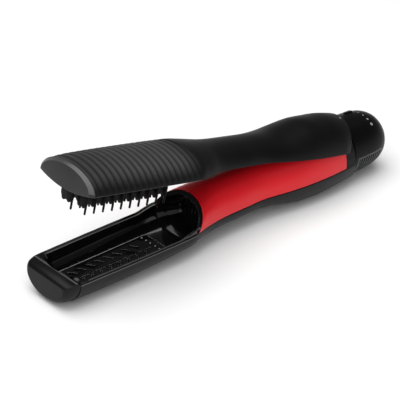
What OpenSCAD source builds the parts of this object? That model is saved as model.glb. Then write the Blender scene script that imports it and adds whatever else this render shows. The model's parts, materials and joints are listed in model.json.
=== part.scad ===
// Hot air straightening brush: a lower handle with an open styling channel, a fan and a heater,
// and an upper arm with a ribbed paddle and a toothed brush that closes over the channel.
// X runs from the tip to the dial, Y across, Z up. The brush is drawn open, as it lies on a table.

/* [Styling channel] */
// Width of the open channel across its rims
channel_w = 49; // [46:0.5:52]
// Length of the open channel, from the rim of the tip to the duct cover
channel_l = 101; // [96:1:110]
// Height of the channel rims above the table
rim_z = 20; // [19:0.5:22]
// Wall of the channel
channel_wall = 2.4; // [2:0.1:2.8]
// Forward lean of the end wall, in degrees
tip_lean = 18; // [10:1:22]
// Thickness of the end cap of the channel
tip_cap_t = 2.6; // [2:0.1:3.2]
// Height of the top of the slotted floor panel
floor_z = 7.4; // [7:0.1:8]
// Thickness of the wall behind the end cap, at its middle
end_wall_t = 2; // [1.6:0.1:2.6]
// Thickness of the floor panel
floor_t = 1.4; // [1:0.1:1.8]
// Width of the floor panel at the tip
floor_w = 27; // [25:0.5:28]
// Width of the floor panel at its rear end
floor_rear_w = 28.4; // [26:0.2:28.4]
// Spacing of the slanted air slots along the panel
slot_pitch = 7.46; // [7:0.01:8]
// Width of an air slot
slot_w = 1.2; // [1:0.1:1.6]
// Backward lean of the duct cover's front edge, as a ratio of run to rise
mouth_lean = 0.72; // [0.5:0.02:0.8]

/* [Handle] */
// Width of the handle at its neck
neck_w = 37; // [35:0.5:39]
// Width of the handle at the grip
grip_w = 49; // [46:0.5:51]
// Distance from the duct cover's front edge to the middle of the neck
neck_run = 49; // [45:1:55]
// Distance from the middle of the neck to the widest part of the grip
grip_run = 72; // [66:1:76]
// Wall of the handle shells
shell_wall = 2; // [1.6:0.1:2.2]
// Height of the line where the duct cover meets the lower shell
split_z = 19; // [18:0.5:19.5]
// Gap between pieces that lie side by side
gap = 0.2; // [0.15:0.05:0.3]

/* [Upper arm] */
// Width of the paddle
paddle_w = 54.5; // [52:0.5:56]
// Wall of the arm shell
arm_wall = 1.8; // [1.5:0.1:2]
// Height of the arm's lower edge over the table at the tip, with the brush closed
arm_edge_z = 27.7; // [27:0.1:29]
// Rise of the arm's lower edge along its length
arm_edge_rise = 0.0185; // [0.01:0.0005:0.02]
// Angle to which the arm opens, in degrees
open_a = 12.8; // [11:0.1:13.5]
// Number of ribs across the paddle
rib_n = 18; // [14:1:18]
// Spacing of the ribs
rib_pitch = 4.97; // [4.5:0.01:5]
// Depth of the grooves between the ribs
rib_depth = 0.75; // [0.4:0.05:1]
// Thickness of the paddle's end cap
paddle_cap_t = 3; // [2.4:0.1:3.6]

/* [Brush] */
// Number of fins in each row
fin_n = 10; // [8:1:10]
// Spacing of the fins
fin_pitch = 7.46; // [7:0.01:7.6]
// Width of a fin in the near row
fin_near_w = 9.8; // [9:0.1:10]
// Width of a fin in the far row
fin_far_w = 12.2; // [11:0.1:12.4]
// Thickness of a fin
fin_t = 1.8; // [1.4:0.1:2.4]
// Height of the fins' lower edge over the table, with the brush closed
fin_tip_z = 12.6; // [12:0.1:14]
// Height of the pins' tips over the table, with the brush closed
pin_tip_z = 8.6; // [8.4:0.1:9.4]
// Radius of a pin at its tip
pin_r = 0.7; // [0.5:0.05:0.9]
// Downward bulge of the brush base at its middle
base_bulge = 4.2; // [3:0.1:4.6]

/* [Hinge] */
// Radius of the hinge pin
pin_rod_r = 1.5; // [1.3:0.1:1.8]
// Radial running clearance of the arm's ears on the pin
pin_fit = 0.05; // [0.03:0.01:0.08]
// Height of the hinge pin over the table
hinge_z = 36; // [35:0.5:37]
// Wire radius of the opening spring
spring_wire_r = 0.5; // [0.4:0.05:0.6]
// Radius of the opening spring, to the middle of its wire
spring_r = 3; // [2.5:0.1:3.2]
// Turns of the opening spring
spring_turns = 6; // [4:1:8]

/* [Dial] */
// Radius of the dial at its front edge
dial_r = 21.6; // [21:0.1:22]
// Length of the dial
dial_l = 43.5; // [40:0.5:46]
// Height of the dial's axis over the table
dial_z = 22.8; // [22.4:0.1:23]
// Wall of the dial
dial_wall = 2; // [1.6:0.1:2.4]
// Spacing of the intake slots along the dial
vent_pitch = 2.5; // [2.4:0.1:3]
// Number of intake slots on each side
vent_n = 10; // [7:1:10]
// Radius of the spigot that the dial turns on
spigot_r = 15; // [14.5:0.1:15.4]
// Radial running clearance of the dial on its spigot and bush
dial_fit = 0.08; // [0.04:0.01:0.1]
// Radius of the hole for the mains cord in the cord bush
cord_hole_r = 3.7; // [3:0.1:4]
// Outer radius of the cord bush
bush_r = 6; // [5.5:0.1:6.5]

/* [Fan and heater] */
// Radius of the fan
fan_r = 17; // [15:0.5:17]
// Number of fan blades
blade_n = 7; // [5:1:9]
// Radius of the motor
motor_r = 12; // [11:0.5:13]
// Length of the motor
motor_l = 24; // [20:1:26]
// Radius of the motor shaft
shaft_r = 1; // [0.8:0.1:1.2]
// Radius of the heater sleeve
sleeve_r = 12.5; // [11.5:0.1:13]
// Length of the heater sleeve
sleeve_l = 50; // [44:1:51]
// Wall of the heater sleeve
sleeve_t = 0.6; // [0.5:0.1:1]
// Turns of the heater coil
coil_turns = 10; // [8:1:12]

/* [Hidden] */

// Places along X
tip_face = 0.9;
tip_turns = [0, 20, 42, 65, 90];
function tip_back(a) = (tip_cap_t - 0.3) * (1 - cos(a));
function tip_share(a) = 1 - (1 - tip_face) * (1 - sin(a));
tip_reach = max([for (a = tip_turns) tip_share(a) * (rim_z + 0.5) * tan(tip_lean) - tip_back(a)]);
neck_x = channel_l + neck_run;
grip_x = neck_x + grip_run;
hinge_x = grip_x + 18.5;
collar_x = hinge_x + 4.8;
seam_x = grip_x + 34.5;
end_x = seam_x + dial_l;
centre_x = (end_x - tip_reach) / 2;
cover_cut_x = hinge_x - 13;

// Steps of the lofted shells
bowl_n = 18;
hood_n = 16;

// Half width of the body and height of its underside, as [place along X, value] pairs
body_half = [
    [0, channel_w / 2 - 0.9], [channel_l / 2, channel_w / 2], [channel_l - 8, channel_w / 2 + 0.1],
    [channel_l, channel_w / 2 - 0.6], [channel_l + 11, neck_w / 2 + 2.7],
    [channel_l + 28, neck_w / 2 + 0.4], [neck_x, neck_w / 2], [neck_x + 18, neck_w / 2 - 0.1],
    [neck_x + 37, (neck_w + grip_w) / 4], [neck_x + 54, grip_w / 2 - 0.9],
    [grip_x, grip_w / 2], [hinge_x, grip_w / 2 - 0.4], [seam_x, dial_r + 0.8]
];
under_z = [
    [-10, -0.8], [0, -0.5], [channel_l / 2, 1], [channel_l - 10, 3.4], [channel_l + 11, 5.4],
    [channel_l + 28, 6.6], [neck_x, 6.9], [neck_x + 20, 6.8], [neck_x + 37, 3.6],
    [neck_x + 54, 0.3], [grip_x, -0.6], [hinge_x, 0.3], [seam_x, 1.2]
];
// Height of the arm's top, with the brush closed
arm_top = [
    [0, 38.6], [4, 39.8], [8, 41], [20, 42.9], [60, 44.6], [channel_l, 45.3], [channel_l + 14, 44.5],
    [channel_l + 29, 43.6], [neck_x, 43.8], [neck_x + 20, 44.3], [neck_x + 35, 45.3],
    [neck_x + 50, 48.5], [neck_x + 65, 52.2], [grip_x + 8, 53.4], [hinge_x, 53.9], [seam_x, 52.9]
];
arm_half = [
    [0, paddle_w / 2], [channel_l - 2, paddle_w / 2], [channel_l + 5, paddle_w / 2 - 1.8],
    [channel_l + 12, (paddle_w + neck_w) / 4 + 0.5], [channel_l + 21, neck_w / 2 + 1.7],
    [channel_l + 34, neck_w / 2 + 0.6], [neck_x, neck_w / 2 + 0.4], [neck_x + 18, neck_w / 2 + 0.3],
    [neck_x + 37, (neck_w + grip_w) / 4 + 0.4], [neck_x + 54, grip_w / 2 - 0.4],
    [grip_x, grip_w / 2 + 0.4], [hinge_x, grip_w / 2], [seam_x, dial_r + 1.6]
];

// Behind the mouth: height of the duct cover's crown over the split line, and its backward lean
cover_rise = [
    [channel_l, 17], [channel_l + 5, 18.3], [channel_l + 11, 19.4], [channel_l + 19, 20.3],
    [channel_l + 29, 20.9]
];
cover_lean = [
    [channel_l, mouth_lean], [channel_l + 5, mouth_lean - 0.1], [channel_l + 11, mouth_lean - 0.22],
    [channel_l + 19, 0.33], [channel_l + 29, 0.15]
];

// Channel
cap_seam = tip_cap_t + gap;
liner_wall = 1.4;
floor_x0 = 6;
floor_x1 = channel_l - 14;
slot_x0 = floor_x0 + 12.3;
slot_n = floor((floor_x1 - slot_x0 - 2) / slot_pitch);
bar_l = 10.6;
bar_pitch = 13.1;

// Brush and paddle
paddle_x0 = 4.6;
ribs_x0 = paddle_x0 + paddle_cap_t + gap + 0.8;
base_x0 = paddle_x0 + paddle_cap_t + 0.8;
base_x1 = base_x0 + fin_n * fin_pitch + 7;
base_t = 1.8;
far_y = -1.2;
near_y = far_y - 0.4 - fin_near_w;
far_x = base_x0 + 5.1;
near_x = far_x + 3.1;
comb_x0 = far_x - 2.6;
comb_x1 = near_x + (fin_n - 1) * fin_pitch + 2.8;
boss_xs = [base_x0 + 9, base_x1 - 9];
paddle_boss_y = 18;

// Hinge and grip
boss_y = 11.5;
ear_y = boss_y + 0.5;
ear_t = 2.4;
ear_r = 3.4;
strap_z = hinge_z + 9.2;
strap_t = 1.6;
well_x = hinge_x - 7.5;
well_z = hinge_z - 5;

// Core of the handle
fit = 0.1;
heater_z = 23.5;
core_z = 23;
fan_x = grip_x - 25;
motor_x = fan_x + 6;
mount_x = motor_x + 4;
mount_l = 12;
sleeve_x = neck_x - 27;
spigot_l = 6;
screw_spots = [
    [mount_x + mount_l / 2, 11], [mount_x + mount_l / 2, -11],
    [(collar_x + seam_x - 0.6) / 2, 10], [(collar_x + seam_x - 0.6) / 2, -10]
];
screw_r = 1.3;
head_r = 2.6;

// Signed power, for rounded sections between an ellipse and a rectangle
function spow(v, e) = sign(v) * pow(abs(v), e);

// Smooth curve through [position, value] pairs
function span(p, x, i = 0) = (i >= len(p) - 2 || x < p[i + 1][0]) ? i : span(p, x, i + 1);
function slope(p, i) =
    let (a = max(i - 1, 0), b = min(i + 1, len(p) - 1)) (p[b][1] - p[a][1]) / (p[b][0] - p[a][0]);
function curve(p, x) =
    let (
        i = span(p, x),
        h = p[i + 1][0] - p[i][0],
        t = min(max((x - p[i][0]) / h, 0), 1),
        s = 1 - t
    )
    p[i][1] * (1 + 2 * t) * s * s + p[i + 1][1] * (3 - 2 * t) * t * t
    + slope(p, i) * h * t * s * s - slope(p, i + 1) * h * t * t * s;
function ease(t) = let (u = min(max(t, 0), 1)) u * u * (3 - 2 * u);
function reversed(v) = [for (i = [len(v) - 1:-1:0]) v[i]];

function arm_edge(x) = arm_edge_z + arm_edge_rise * x;
// Height of the channel's rim, which sweeps up where it meets the duct cover
function rim_at(x) = rim_z + 3 * ease((x - channel_l + 16) / 16);

// Height of the handle's underside at a point, with the surface moved inwards by an inset
function under_at(x, y, inset = 0) =
    let (w = curve(body_half, x) - inset, low = max(curve(under_z, x), 0) + inset)
    split_z - (split_z - low) * pow(1 - pow(abs(y) / w, 2.3), 1 / 2.3);
// Top of the collar behind the duct cover, which falls towards the dial
function collar_top(x) = dial_z + dial_r + 0.6 + (seam_x - x) * 0.38;

// Lower half of a section, from +Y round the underside to -Y, kept above the table
function bowl(w, top, low, e = 2.3, floor = 0) = [
    for (i = [0:bowl_n])
        let (a = 180 * i / bowl_n)
        [w * spow(cos(a), 2 / e), max(top - (top - low) * pow(sin(a), 2 / e), floor)]
];
// Upper half of a section, from +Y over the top to -Y
function hood(w, low, top, e = 2, n = hood_n) = [
    for (i = [0:n])
        let (a = 180 * i / n)
        [w * spow(cos(a), 2 / e), low + (top - low) * pow(sin(a), 2 / e)]
];
// A section stood up at a place along X, leaning by a ratio about the height z0
function stand(section, x, lean = 0, z0 = 0) =
    [for (p = section) [x + lean * (p[1] - z0), p[0], p[1]]];

function grid(n, m, start, flip) = [
    for (i = [0:m - 2], j = [0:n - 2])
        let (a = start + i * n + j, b = a + 1, c = a + n, d = c + 1)
        each flip ? [[a, b, d], [a, d, c]] : [[a, d, b], [a, c, d]]
];
function strip(a, b, flip) = [
    for (i = [0:len(a) - 2])
        each flip ? [[a[i], a[i + 1], b[i + 1]], [a[i], b[i + 1], b[i]]]
                  : [[a[i], b[i + 1], a[i + 1]], [a[i], b[i], b[i + 1]]]
];

// Open shell between an outer and an inner set of section lines with equal counts
module shell_loft(outer, inner) {
    n = len(outer[0]);
    m = len(outer);
    base = n * m;
    points = concat([for (r = outer) each r], [for (r = inner) each r]);
    out_first = [for (j = [0:n - 1]) j];
    out_last = [for (j = [0:n - 1]) (m - 1) * n + j];
    out_left = [for (i = [0:m - 1]) i * n];
    out_right = [for (i = [0:m - 1]) i * n + n - 1];
    polyhedron(points, concat(
        grid(n, m, 0, true),
        grid(n, m, base, false),
        strip(out_first, [for (k = out_first) k + base], false),
        strip(out_last, [for (k = out_last) k + base], true),
        strip(out_left, [for (k = out_left) k + base], true),
        strip(out_right, [for (k = out_right) k + base], false)
    ));
}

// Closed solid through a row of closed flat rings
module loft(rings) {
    n = len(rings[0]);
    m = len(rings);
    polyhedron([for (r = rings) each r], concat(
        [[for (j = [0:n - 1]) j]],
        [for (i = [0:m - 2], j = [0:n - 1])
            let (a = i * n + j, b = i * n + (j + 1) % n, c = a + n, d = b + n)
            each [[a, d, b], [a, c, d]]],
        [[for (j = [n - 1:-1:0]) (m - 1) * n + j]]
    ));
}

// Round wire along a helix that climbs along its own Z axis
module helix_wire(r, wire_r, turns, height, steps = 12, sides = 5) {
    n = turns * steps;
    loft([for (i = [0:n])
        let (a = 360 * i / steps, z = height * i / n)
        [for (k = [0:sides - 1])
            let (b = -360 * k / sides)
            [(r + wire_r * cos(b)) * cos(a), (r + wire_r * cos(b)) * sin(a), z + wire_r * sin(b)]]
    ]);
}

module rod_x(r, l) {
    rotate([0, 90, 0]) cylinder(r = r, h = l, $fn = 64);
}

// The whole model stands with the middle of its length at the origin
module placed() {
    translate([-centre_x, 0, 0]) children();
}

// The upper arm turned open about the hinge pin
module opened() {
    placed()
        translate([hinge_x, 0, hinge_z])
            rotate([0, open_a, 0])
                translate([-hinge_x, 0, -hinge_z]) children();
}

module channel() {
    xs = [cap_seam, 12, 30, channel_l / 2, channel_l - 24, channel_l - 16, channel_l - 11,
          channel_l - 6, channel_l - gap];
    // The end leans forward with the end cap, and the rims lean back with the duct cover
    function section(line, x) =
        let (k = tan(tip_lean) * (1 - ease((x - cap_seam) / 27)),
             back = mouth_lean * ease((x - channel_l + 16) / 15))
        [for (p = line) [x + k * (p[1] - rim_z) + back * max(p[1] - split_z, 0), p[0], p[1]]];
    // Adds the points where the lean of the rims starts
    function sided(line) =
        let (w = line[0][0], z = min(split_z, line[0][1] - 0.2))
        concat([line[0], [w, z]], [for (i = [1:bowl_n - 1]) line[i]], [[-w, z], line[bowl_n]]);
    function outer(x) =
        let (w = curve(body_half, x), top = rim_at(x))
        concat([[w - channel_wall / 2, top]], sided(bowl(w, top - 0.7, curve(under_z, x))),
               [[channel_wall / 2 - w, top]]);
    function inner(x) =
        let (w = curve(body_half, x) - channel_wall, top = rim_at(x))
        concat([[w + channel_wall * 0.35, top]],
               sided(bowl(w, top - 1, max(curve(under_z, x), 0) + channel_wall, 2.4)),
               [[-w - channel_wall * 0.35, top]]);
    color([0.03, 0.03, 0.03]) placed() difference() {
        union() {
            shell_loft([for (x = xs) section(outer(x), x)], [for (x = xs) section(inner(x), x)]);
            channel_end_wall();
        }
        translate([0, 0, floor_z - floor_t - gap]) linear_extrude(6) floor_outline(gap);
    }
}

// Wall behind the end cap, dished on the side of the channel
module channel_end_wall() {
    dish_l = 8;
    face_x = cap_seam + end_wall_t;
    top = rim_z - 0.4;
    w = curve(body_half, cap_seam) - channel_wall;
    drop = top - channel_wall;
    function place(x, z) = x + tan(tip_lean) * (1 - ease((x - cap_seam) / 27)) * (z - rim_z);
    function ring(x, s, grow, lid) =
        let (low = bowl(w * s + grow, top - 0.05, top - drop * s - grow, 2.4))
        [for (p = concat([[w * s + grow, lid], [-w * s - grow, lid]], reversed(low)))
            [place(x, p[1]), p[0], p[1]]];
    difference() {
        loft([ring(cap_seam + 0.1, 1, 0.5, top), ring(face_x + dish_l, 1, 0.5, top)]);
        loft([for (s = [0.5, 0.66, 0.78, 0.87, 0.94, 1, 1.03])
            ring(face_x + dish_l * pow(s, 7), s, 0, top + 3)]);
        // Notch at the near corner
        translate([cap_seam + 0.6, -w, top - 1.2]) cube([dish_l, 7.6, 3]);
    }
}

module floor_outline(grow = 0) {
    a = floor_w / 2 + grow;
    b = floor_rear_w / 2 + grow;
    polygon([[floor_x0 - grow, 3 - a], [floor_x0 + 3, -a], [floor_x0 + 28, -a], [floor_x1 + grow, -b],
             [floor_x1 + grow, b], [floor_x0 + 28, a], [floor_x0 + 3, a], [floor_x0 - grow, a - 3]]);
}

module channel_end_cap() {
    lean = tan(tip_lean);
    function ring(x, s) =
        let (w = curve(body_half, 0) * s, low = rim_z - (rim_z + 0.5) * s)
        stand(concat([[w - 0.7, rim_z - 0.4 * (1 - s) / (1 - tip_face)]],
                     bowl(w, rim_z - 0.7, low, 2.3, 0),
                     [[0.7 - w, rim_z - 0.4 * (1 - s) / (1 - tip_face)]]), x, lean, rim_z);
    color([0.22, 0.22, 0.23]) placed()
        loft(concat([ring(tip_cap_t, 1)],
                    reversed([for (a = tip_turns) ring(tip_back(a), tip_share(a))])));
}

module floor_panel() {
    foot_y = 11.2;
    foot_r = 1.2;
    rim_t = 0.7;
    // Height of the channel's inner surface under the outer side of a foot
    function bed(x) =
        let (w = curve(body_half, x) - channel_wall, top = rim_z - 1)
        top - (top - channel_wall - max(curve(under_z, x), 0))
            * pow(1 - pow((foot_y + foot_r) / w, 2.4), 1 / 2.4) + gap;
    color([0.02, 0.02, 0.02]) placed() {
        translate([0, 0, floor_z - floor_t]) linear_extrude(floor_t) difference() {
            floor_outline();
            for (i = [0:slot_n - 1], side = [-1, 1])
                translate([slot_x0 + i * slot_pitch, side * 6])
                    rotate(side * 35) square([slot_w, 6.4], center = true);
            // A row of long slots beside the middle
            for (i = [0:floor((floor_x1 - slot_x0) / bar_pitch) - 1])
                translate([slot_x0 - 3 + i * bar_pitch, -2.3]) square([bar_l, 0.9]);
        }
        translate([0, 0, floor_z - 0.1]) linear_extrude(0.5) difference() {
            floor_outline();
            floor_outline(-rim_t);
        }
        // Feet that stand on the bottom of the channel
        for (x = [floor_x0 + 4, channel_l / 2 - 4], y = [-foot_y, foot_y])
            translate([x, y, bed(x)]) cylinder(r = foot_r, h = floor_z - floor_t / 2 - bed(x), $fn = 24);
    }
}

module mouth_liner() {
    depth = 17;
    x0 = channel_l + 2 * gap;
    n = 32;
    // The wall is thin at the lip, and the bowl closes in towards its end, which leans as a whole
    function wall(d) = min(liner_wall, 0.5 + 0.2 * d);
    function low_lean(d) = ease(d / (depth - liner_wall));
    function oval(d, t) =
        let (
            x = x0 + d,
            close = sqrt(1 - pow(d / (depth + 3), 4)),
            inset = shell_wall + gap + 0.05 + wall(d),
            wide = (curve(body_half, x) - inset - 0.9) * close + t,
            up = (split_z + curve(cover_rise, x) - inset - rim_z) * close + t,
            down = (rim_z - curve(under_z, x) - inset - 0.8) * close + t
        )
        [for (i = [0:n - 1])
            let (a = 360 * i / n, c = cos(a), v = sin(a),
                 y = wide * (v < 0 ? spow(c, 0.85) : c),
                 z = rim_z + (v < 0 ? -down * pow(-v, 0.85) : up * v))
            [x + curve(cover_lean, x) * (z - split_z) * (z > split_z ? 1 : low_lean(d)), y, z]];
    color([0.015, 0.015, 0.015]) placed() difference() {
        loft(concat(
            [for (d = [depth - liner_wall, 14, 11.5, 8, 4, 1.4, 0.2]) oval(d, 0)],
            [for (d = [0.25, 1.4, 4, 8, 11.5, 14, 15.6, depth]) oval(d, wall(d))]
        ));
        for (i = [-2:2])
            translate([x0 + depth * 0.7, i * 3.2 - slot_w / 2, rim_z - 2])
                cube([depth, slot_w, 9]);
    }
}

module duct_cover() {
    // Each row is the place of the section's foot, its lean and the arch's height over the split
    front = [for (i = [0:len(cover_lean) - 1])
        [cover_lean[i][0], cover_lean[i][1], cover_rise[i][1]]];
    back = [for (x = [neck_x - 8, neck_x + 8, neck_x + 22, neck_x + 34, neck_x + 44, neck_x + 54,
                      neck_x + 64, grip_x, collar_x - gap])
        [x, 0, curve(arm_top, x) - arm_wall - 2 - split_z]];
    rows = concat(front, back);
    function arch(r, t) =
        let (w = curve(body_half, r[0]) - t)
        stand(hood(w, split_z + gap / 2, split_z + r[2] - t, 2), r[0], r[1], split_z);
    notch_y = ear_y + ear_t + 1.8;
    color([0.8, 0.1, 0.13]) placed() difference() {
        shell_loft([for (r = reversed(rows)) arch(r, 0)],
                   [for (r = reversed(rows)) arch(r, shell_wall)]);
        // Notch in the crown for the hinge
        translate([cover_cut_x, -notch_y, hinge_z - 2])
            cube([2 * (collar_x - cover_cut_x), 2 * notch_y, 40]);
    }
}

module lower_shell() {
    xs = [channel_l + gap, channel_l + 6, channel_l + 12, channel_l + 20, channel_l + 29,
          neck_x - 8, neck_x + 8, neck_x + 22, neck_x + 32, neck_x + 42, neck_x + 52, neck_x + 64,
          grip_x, grip_x + 12, seam_x - 8, seam_x - 0.6];
    // The shell steps in where it meets the wider channel
    function step(x) = 0.7 * (1 - ease((x - channel_l) / 40));
    function line(x, t) =
        stand(bowl(curve(body_half, x) - step(x) - t, split_z - gap / 2,
                   (t > 0 ? max(curve(under_z, x), 0) : curve(under_z, x)) + step(x) + t), x);
    color([0.09, 0.09, 0.095]) placed() difference() {
        shell_loft([for (x = xs) line(x, 0)], [for (x = xs) line(x, shell_wall)]);
        for (p = screw_spots) translate([p[0], p[1], -1]) {
            cylinder(r = screw_r + 0.2, h = 14, $fn = 32);
            cylinder(r = head_r + 0.3, h = under_at(p[0], p[1]) + 2, $fn = 32);
        }
    }
}

module rear_bulkhead() {
    xs = [collar_x, seam_x - 5, seam_x - 0.6];
    inset = shell_wall + gap;
    function ring(x) =
        let (w = curve(body_half, x), low = bowl(w - inset, split_z, curve(under_z, x) + inset))
        stand(concat(hood(w, split_z + gap / 2, collar_top(x)), reversed(low)), x);
    color([0.05, 0.05, 0.055]) placed() difference() {
        union() {
            loft([for (x = xs) ring(x)]);
            translate([seam_x - 0.7, 0, dial_z]) rod_x(spigot_r, spigot_l + 0.1);
        }
        translate([collar_x - 1, 0, dial_z]) rod_x(bush_r + fit, 30);
        // Ways for the air from the dial to the fan
        for (a = [0:60:300])
            translate([collar_x - 1, 10.3 * cos(a), dial_z + 10.3 * sin(a)]) rod_x(3.4, 30);
        for (p = screw_spots) if (p[0] > collar_x)
            translate([p[0], p[1], -1]) cylinder(r = screw_r + fit, h = 12, $fn = 32);
    }
}

module hinge_block() {
    low = dial_z + 5;
    color([0.1, 0.1, 0.1]) placed() difference() {
        translate([cover_cut_x + gap, -boss_y, low])
            cube([collar_x - cover_cut_x - 2 * gap, 2 * boss_y, hinge_z + 8 - low]);
        translate([hinge_x, -boss_y - 1, hinge_z])
            rotate([-90, 0, 0]) cylinder(r = pin_rod_r, h = 2 * boss_y + 2, $fn = 48);
        translate([well_x, 0, well_z])
            cylinder(r = spring_r + spring_wire_r + 0.4, h = 30, $fn = 48);
    }
}

module hinge_pin() {
    l = 2 * (ear_y + ear_t + 1.2);
    color("silver") placed() translate([hinge_x, -l / 2, hinge_z])
        rotate([-90, 0, 0]) cylinder(r = pin_rod_r, h = l, $fn = 48);
}

module opening_spring() {
    // The spring reaches the bracket's strap, which slopes while the brush is open
    seat = hinge_z + (strap_z - hinge_z) / cos(open_a) + (hinge_x - well_x) * tan(open_a);
    slope_z = (spring_r + spring_wire_r) * tan(open_a);
    height = seat - slope_z - well_z - 2 * spring_wire_r - 0.5;
    color("silver") placed() translate([well_x, 0, well_z + spring_wire_r + 0.2])
        helix_wire(spring_r, spring_wire_r, spring_turns, height);
}

module heater_sleeve() {
    color([0.75, 0.73, 0.66]) placed() translate([sleeve_x, 0, heater_z]) difference() {
        rod_x(sleeve_r, sleeve_l);
        translate([-1, 0, 0]) rod_x(sleeve_r - sleeve_t, sleeve_l + 2);
    }
}

module sleeve_rings() {
    // Each ring stands on the floor of the lower shell and holds the sleeve
    ring_l = 4;
    foot_w = 8;
    color([0.12, 0.12, 0.12]) placed()
        for (x = [sleeve_x + 1.5 * ring_l, sleeve_x + sleeve_l - 2.5 * ring_l])
            translate([x, 0, heater_z]) difference() {
                union() {
                    rod_x(sleeve_r + 1.2, ring_l);
                    z = under_at(x + ring_l / 2, foot_w / 2, shell_wall + 0.6) - heater_z;
                    translate([0, -foot_w / 2, z]) cube([ring_l, foot_w, -z - sleeve_r + 1]);
                }
                translate([-1, 0, 0]) rod_x(sleeve_r + fit, ring_l + 2);
            }
}

module heater_cross() {
    plate_w = 2 * (sleeve_r - sleeve_t) - 0.4;
    coil_gap = 1.6;
    color([0.82, 0.76, 0.62]) placed() translate([sleeve_x + 4, 0, heater_z]) difference() {
        union() {
            translate([0, -plate_w / 2, -0.4]) cube([sleeve_l - 8, plate_w, 0.8]);
            translate([0, -0.4, -plate_w / 2]) cube([sleeve_l - 8, 0.8, plate_w]);
        }
        for (s = [-1, 1]) {
            translate([3, s * plate_w / 2 - coil_gap, -1]) cube([sleeve_l - 14, 2 * coil_gap, 2]);
            translate([3, -1, s * plate_w / 2 - coil_gap]) cube([sleeve_l - 14, 2, 2 * coil_gap]);
        }
    }
}

module heater_coil() {
    r = sleeve_r - sleeve_t - 1.05;
    color([0.6, 0.58, 0.55]) placed() translate([sleeve_x + 9, 0, heater_z]) rotate([0, 90, 0])
        helix_wire(r, 0.45, coil_turns, sleeve_l - 18, 12, 4);
}

module thermostat() {
    color([0.75, 0.75, 0.78]) placed()
        translate([sleeve_x + sleeve_l - 16, 4, heater_z + 0.4]) cylinder(r = 3, h = 3, $fn = 32);
}

module thermal_fuse() {
    fuse_l = 9;
    color([0.85, 0.82, 0.78]) placed()
        translate([sleeve_x + sleeve_l - fuse_l - 15, -4.5, heater_z + 1.7]) rod_x(1.2, fuse_l);
}

module fan_motor() {
    color([0.55, 0.56, 0.58]) placed() translate([motor_x, 0, core_z]) difference() {
        union() {
            rod_x(motor_r, motor_l);
            translate([-1.6, 0, 0]) rod_x(3.5, 1.6);
        }
        translate([-3, 0, 0]) rod_x(shaft_r + 0.05, motor_l - 2);
    }
}

module motor_shaft() {
    color("silver") placed() translate([fan_x - 4, 0, core_z])
        rod_x(shaft_r, motor_x - fan_x + motor_l - 2);
}

module motor_mount() {
    ring_r = motor_r + 2;
    leg_y = screw_spots[0][1];
    half = curve(body_half, mount_x) - shell_wall - 0.6;
    low = under_at(mount_x, leg_y + 3, shell_wall) + 0.6 - core_z;
    color([0.12, 0.12, 0.13]) placed() translate([mount_x, 0, core_z]) difference() {
        union() {
            rod_x(ring_r, mount_l);
            for (s = [-1, 1])
                translate([0, s * leg_y - 3, low]) cube([mount_l, 6, -low - motor_r + 2.4]);
            translate([0, -half, -1]) cube([mount_l, half - motor_r, 2]);
            translate([0, motor_r, -1]) cube([mount_l, half - motor_r, 2]);
        }
        translate([-1, 0, 0]) rod_x(motor_r + fit, mount_l + 2);
        for (s = [-1, 1])
            translate([mount_l / 2, s * leg_y, low - 1]) cylinder(r = screw_r + fit, h = 7, $fn = 32);
    }
}

module fan_impeller() {
    hub_r = 5.5;
    chord = 8.4;
    color([0.35, 0.36, 0.38]) placed() translate([fan_x - 4, 0, core_z]) difference() {
        union() {
            rod_x(hub_r, 8);
            intersection() {
                rod_x(fan_r, 8);
                for (i = [0:blade_n - 1])
                    rotate([i * 360 / blade_n, 0, 0]) translate([4, 0, hub_r - 1])
                        rotate([0, 0, 38]) translate([-chord / 2, -0.5, 0]) cube([chord, 1, fan_r]);
            }
        }
        translate([-1, 0, 0]) rod_x(shaft_r, 12);
    }
}

module control_board() {
    color([0.05, 0.3, 0.14]) placed() {
        translate([grip_x - 14, -7, 5]) cube([32, 14, 1.6]);
        for (x = [grip_x - 10, grip_x + 15], y = [-5, 5])
            translate([x, y, under_at(x, 6, shell_wall) + 0.5])
                cylinder(r = 1.4, h = 4.7 - under_at(x, 6, shell_wall), $fn = 24);
    }
}

module board_parts() {
    color([0.15, 0.15, 0.3]) placed() translate([grip_x, 0, 6.6]) {
        translate([0, -6, 0]) cube([8, 6, 3]);
        translate([11, -5.5, 0]) cube([4, 11, 2.2]);
        translate([5, 3.4, 0]) cylinder(r = 2.4, h = 3.2, $fn = 32);
    }
}

module switch_block() {
    // Held on the end face of the spigot, inside the dial
    color([0.08, 0.08, 0.09]) placed() translate([seam_x + spigot_l - 0.5, 0, dial_z]) {
        translate([0, -4, bush_r + 0.6]) cube([9, 8, 5.6]);
        translate([9, -1.5, bush_r + 2]) cube([3, 3, 3]);
    }
}

module dust_screen() {
    r = 13.6;
    l = dial_l - 22;
    color([0.3, 0.3, 0.32]) placed() translate([seam_x + spigot_l - 0.4, 0, dial_z]) difference() {
        rod_x(r + 0.8, l);
        translate([-1, 0, 0]) rod_x(r, l + 2);
        for (a = [15:30:165], x = [2, 8, 14])
            rotate([a, 0, 0]) translate([x, -2 * r, -2.4]) cube([4.6, 4 * r, 4.8]);
    }
}

module cord_bush() {
    l = end_x - collar_x - 1;
    color([0.06, 0.06, 0.06]) placed() translate([collar_x + 1, 0, dial_z]) difference() {
        union() {
            rod_x(bush_r, l);
            translate([l - 0.9, 0, 0]) rod_x(bush_r + 1.2, 0.9);
        }
        translate([-1, 0, 0]) rod_x(cord_hole_r, l + 2);
    }
}

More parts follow.
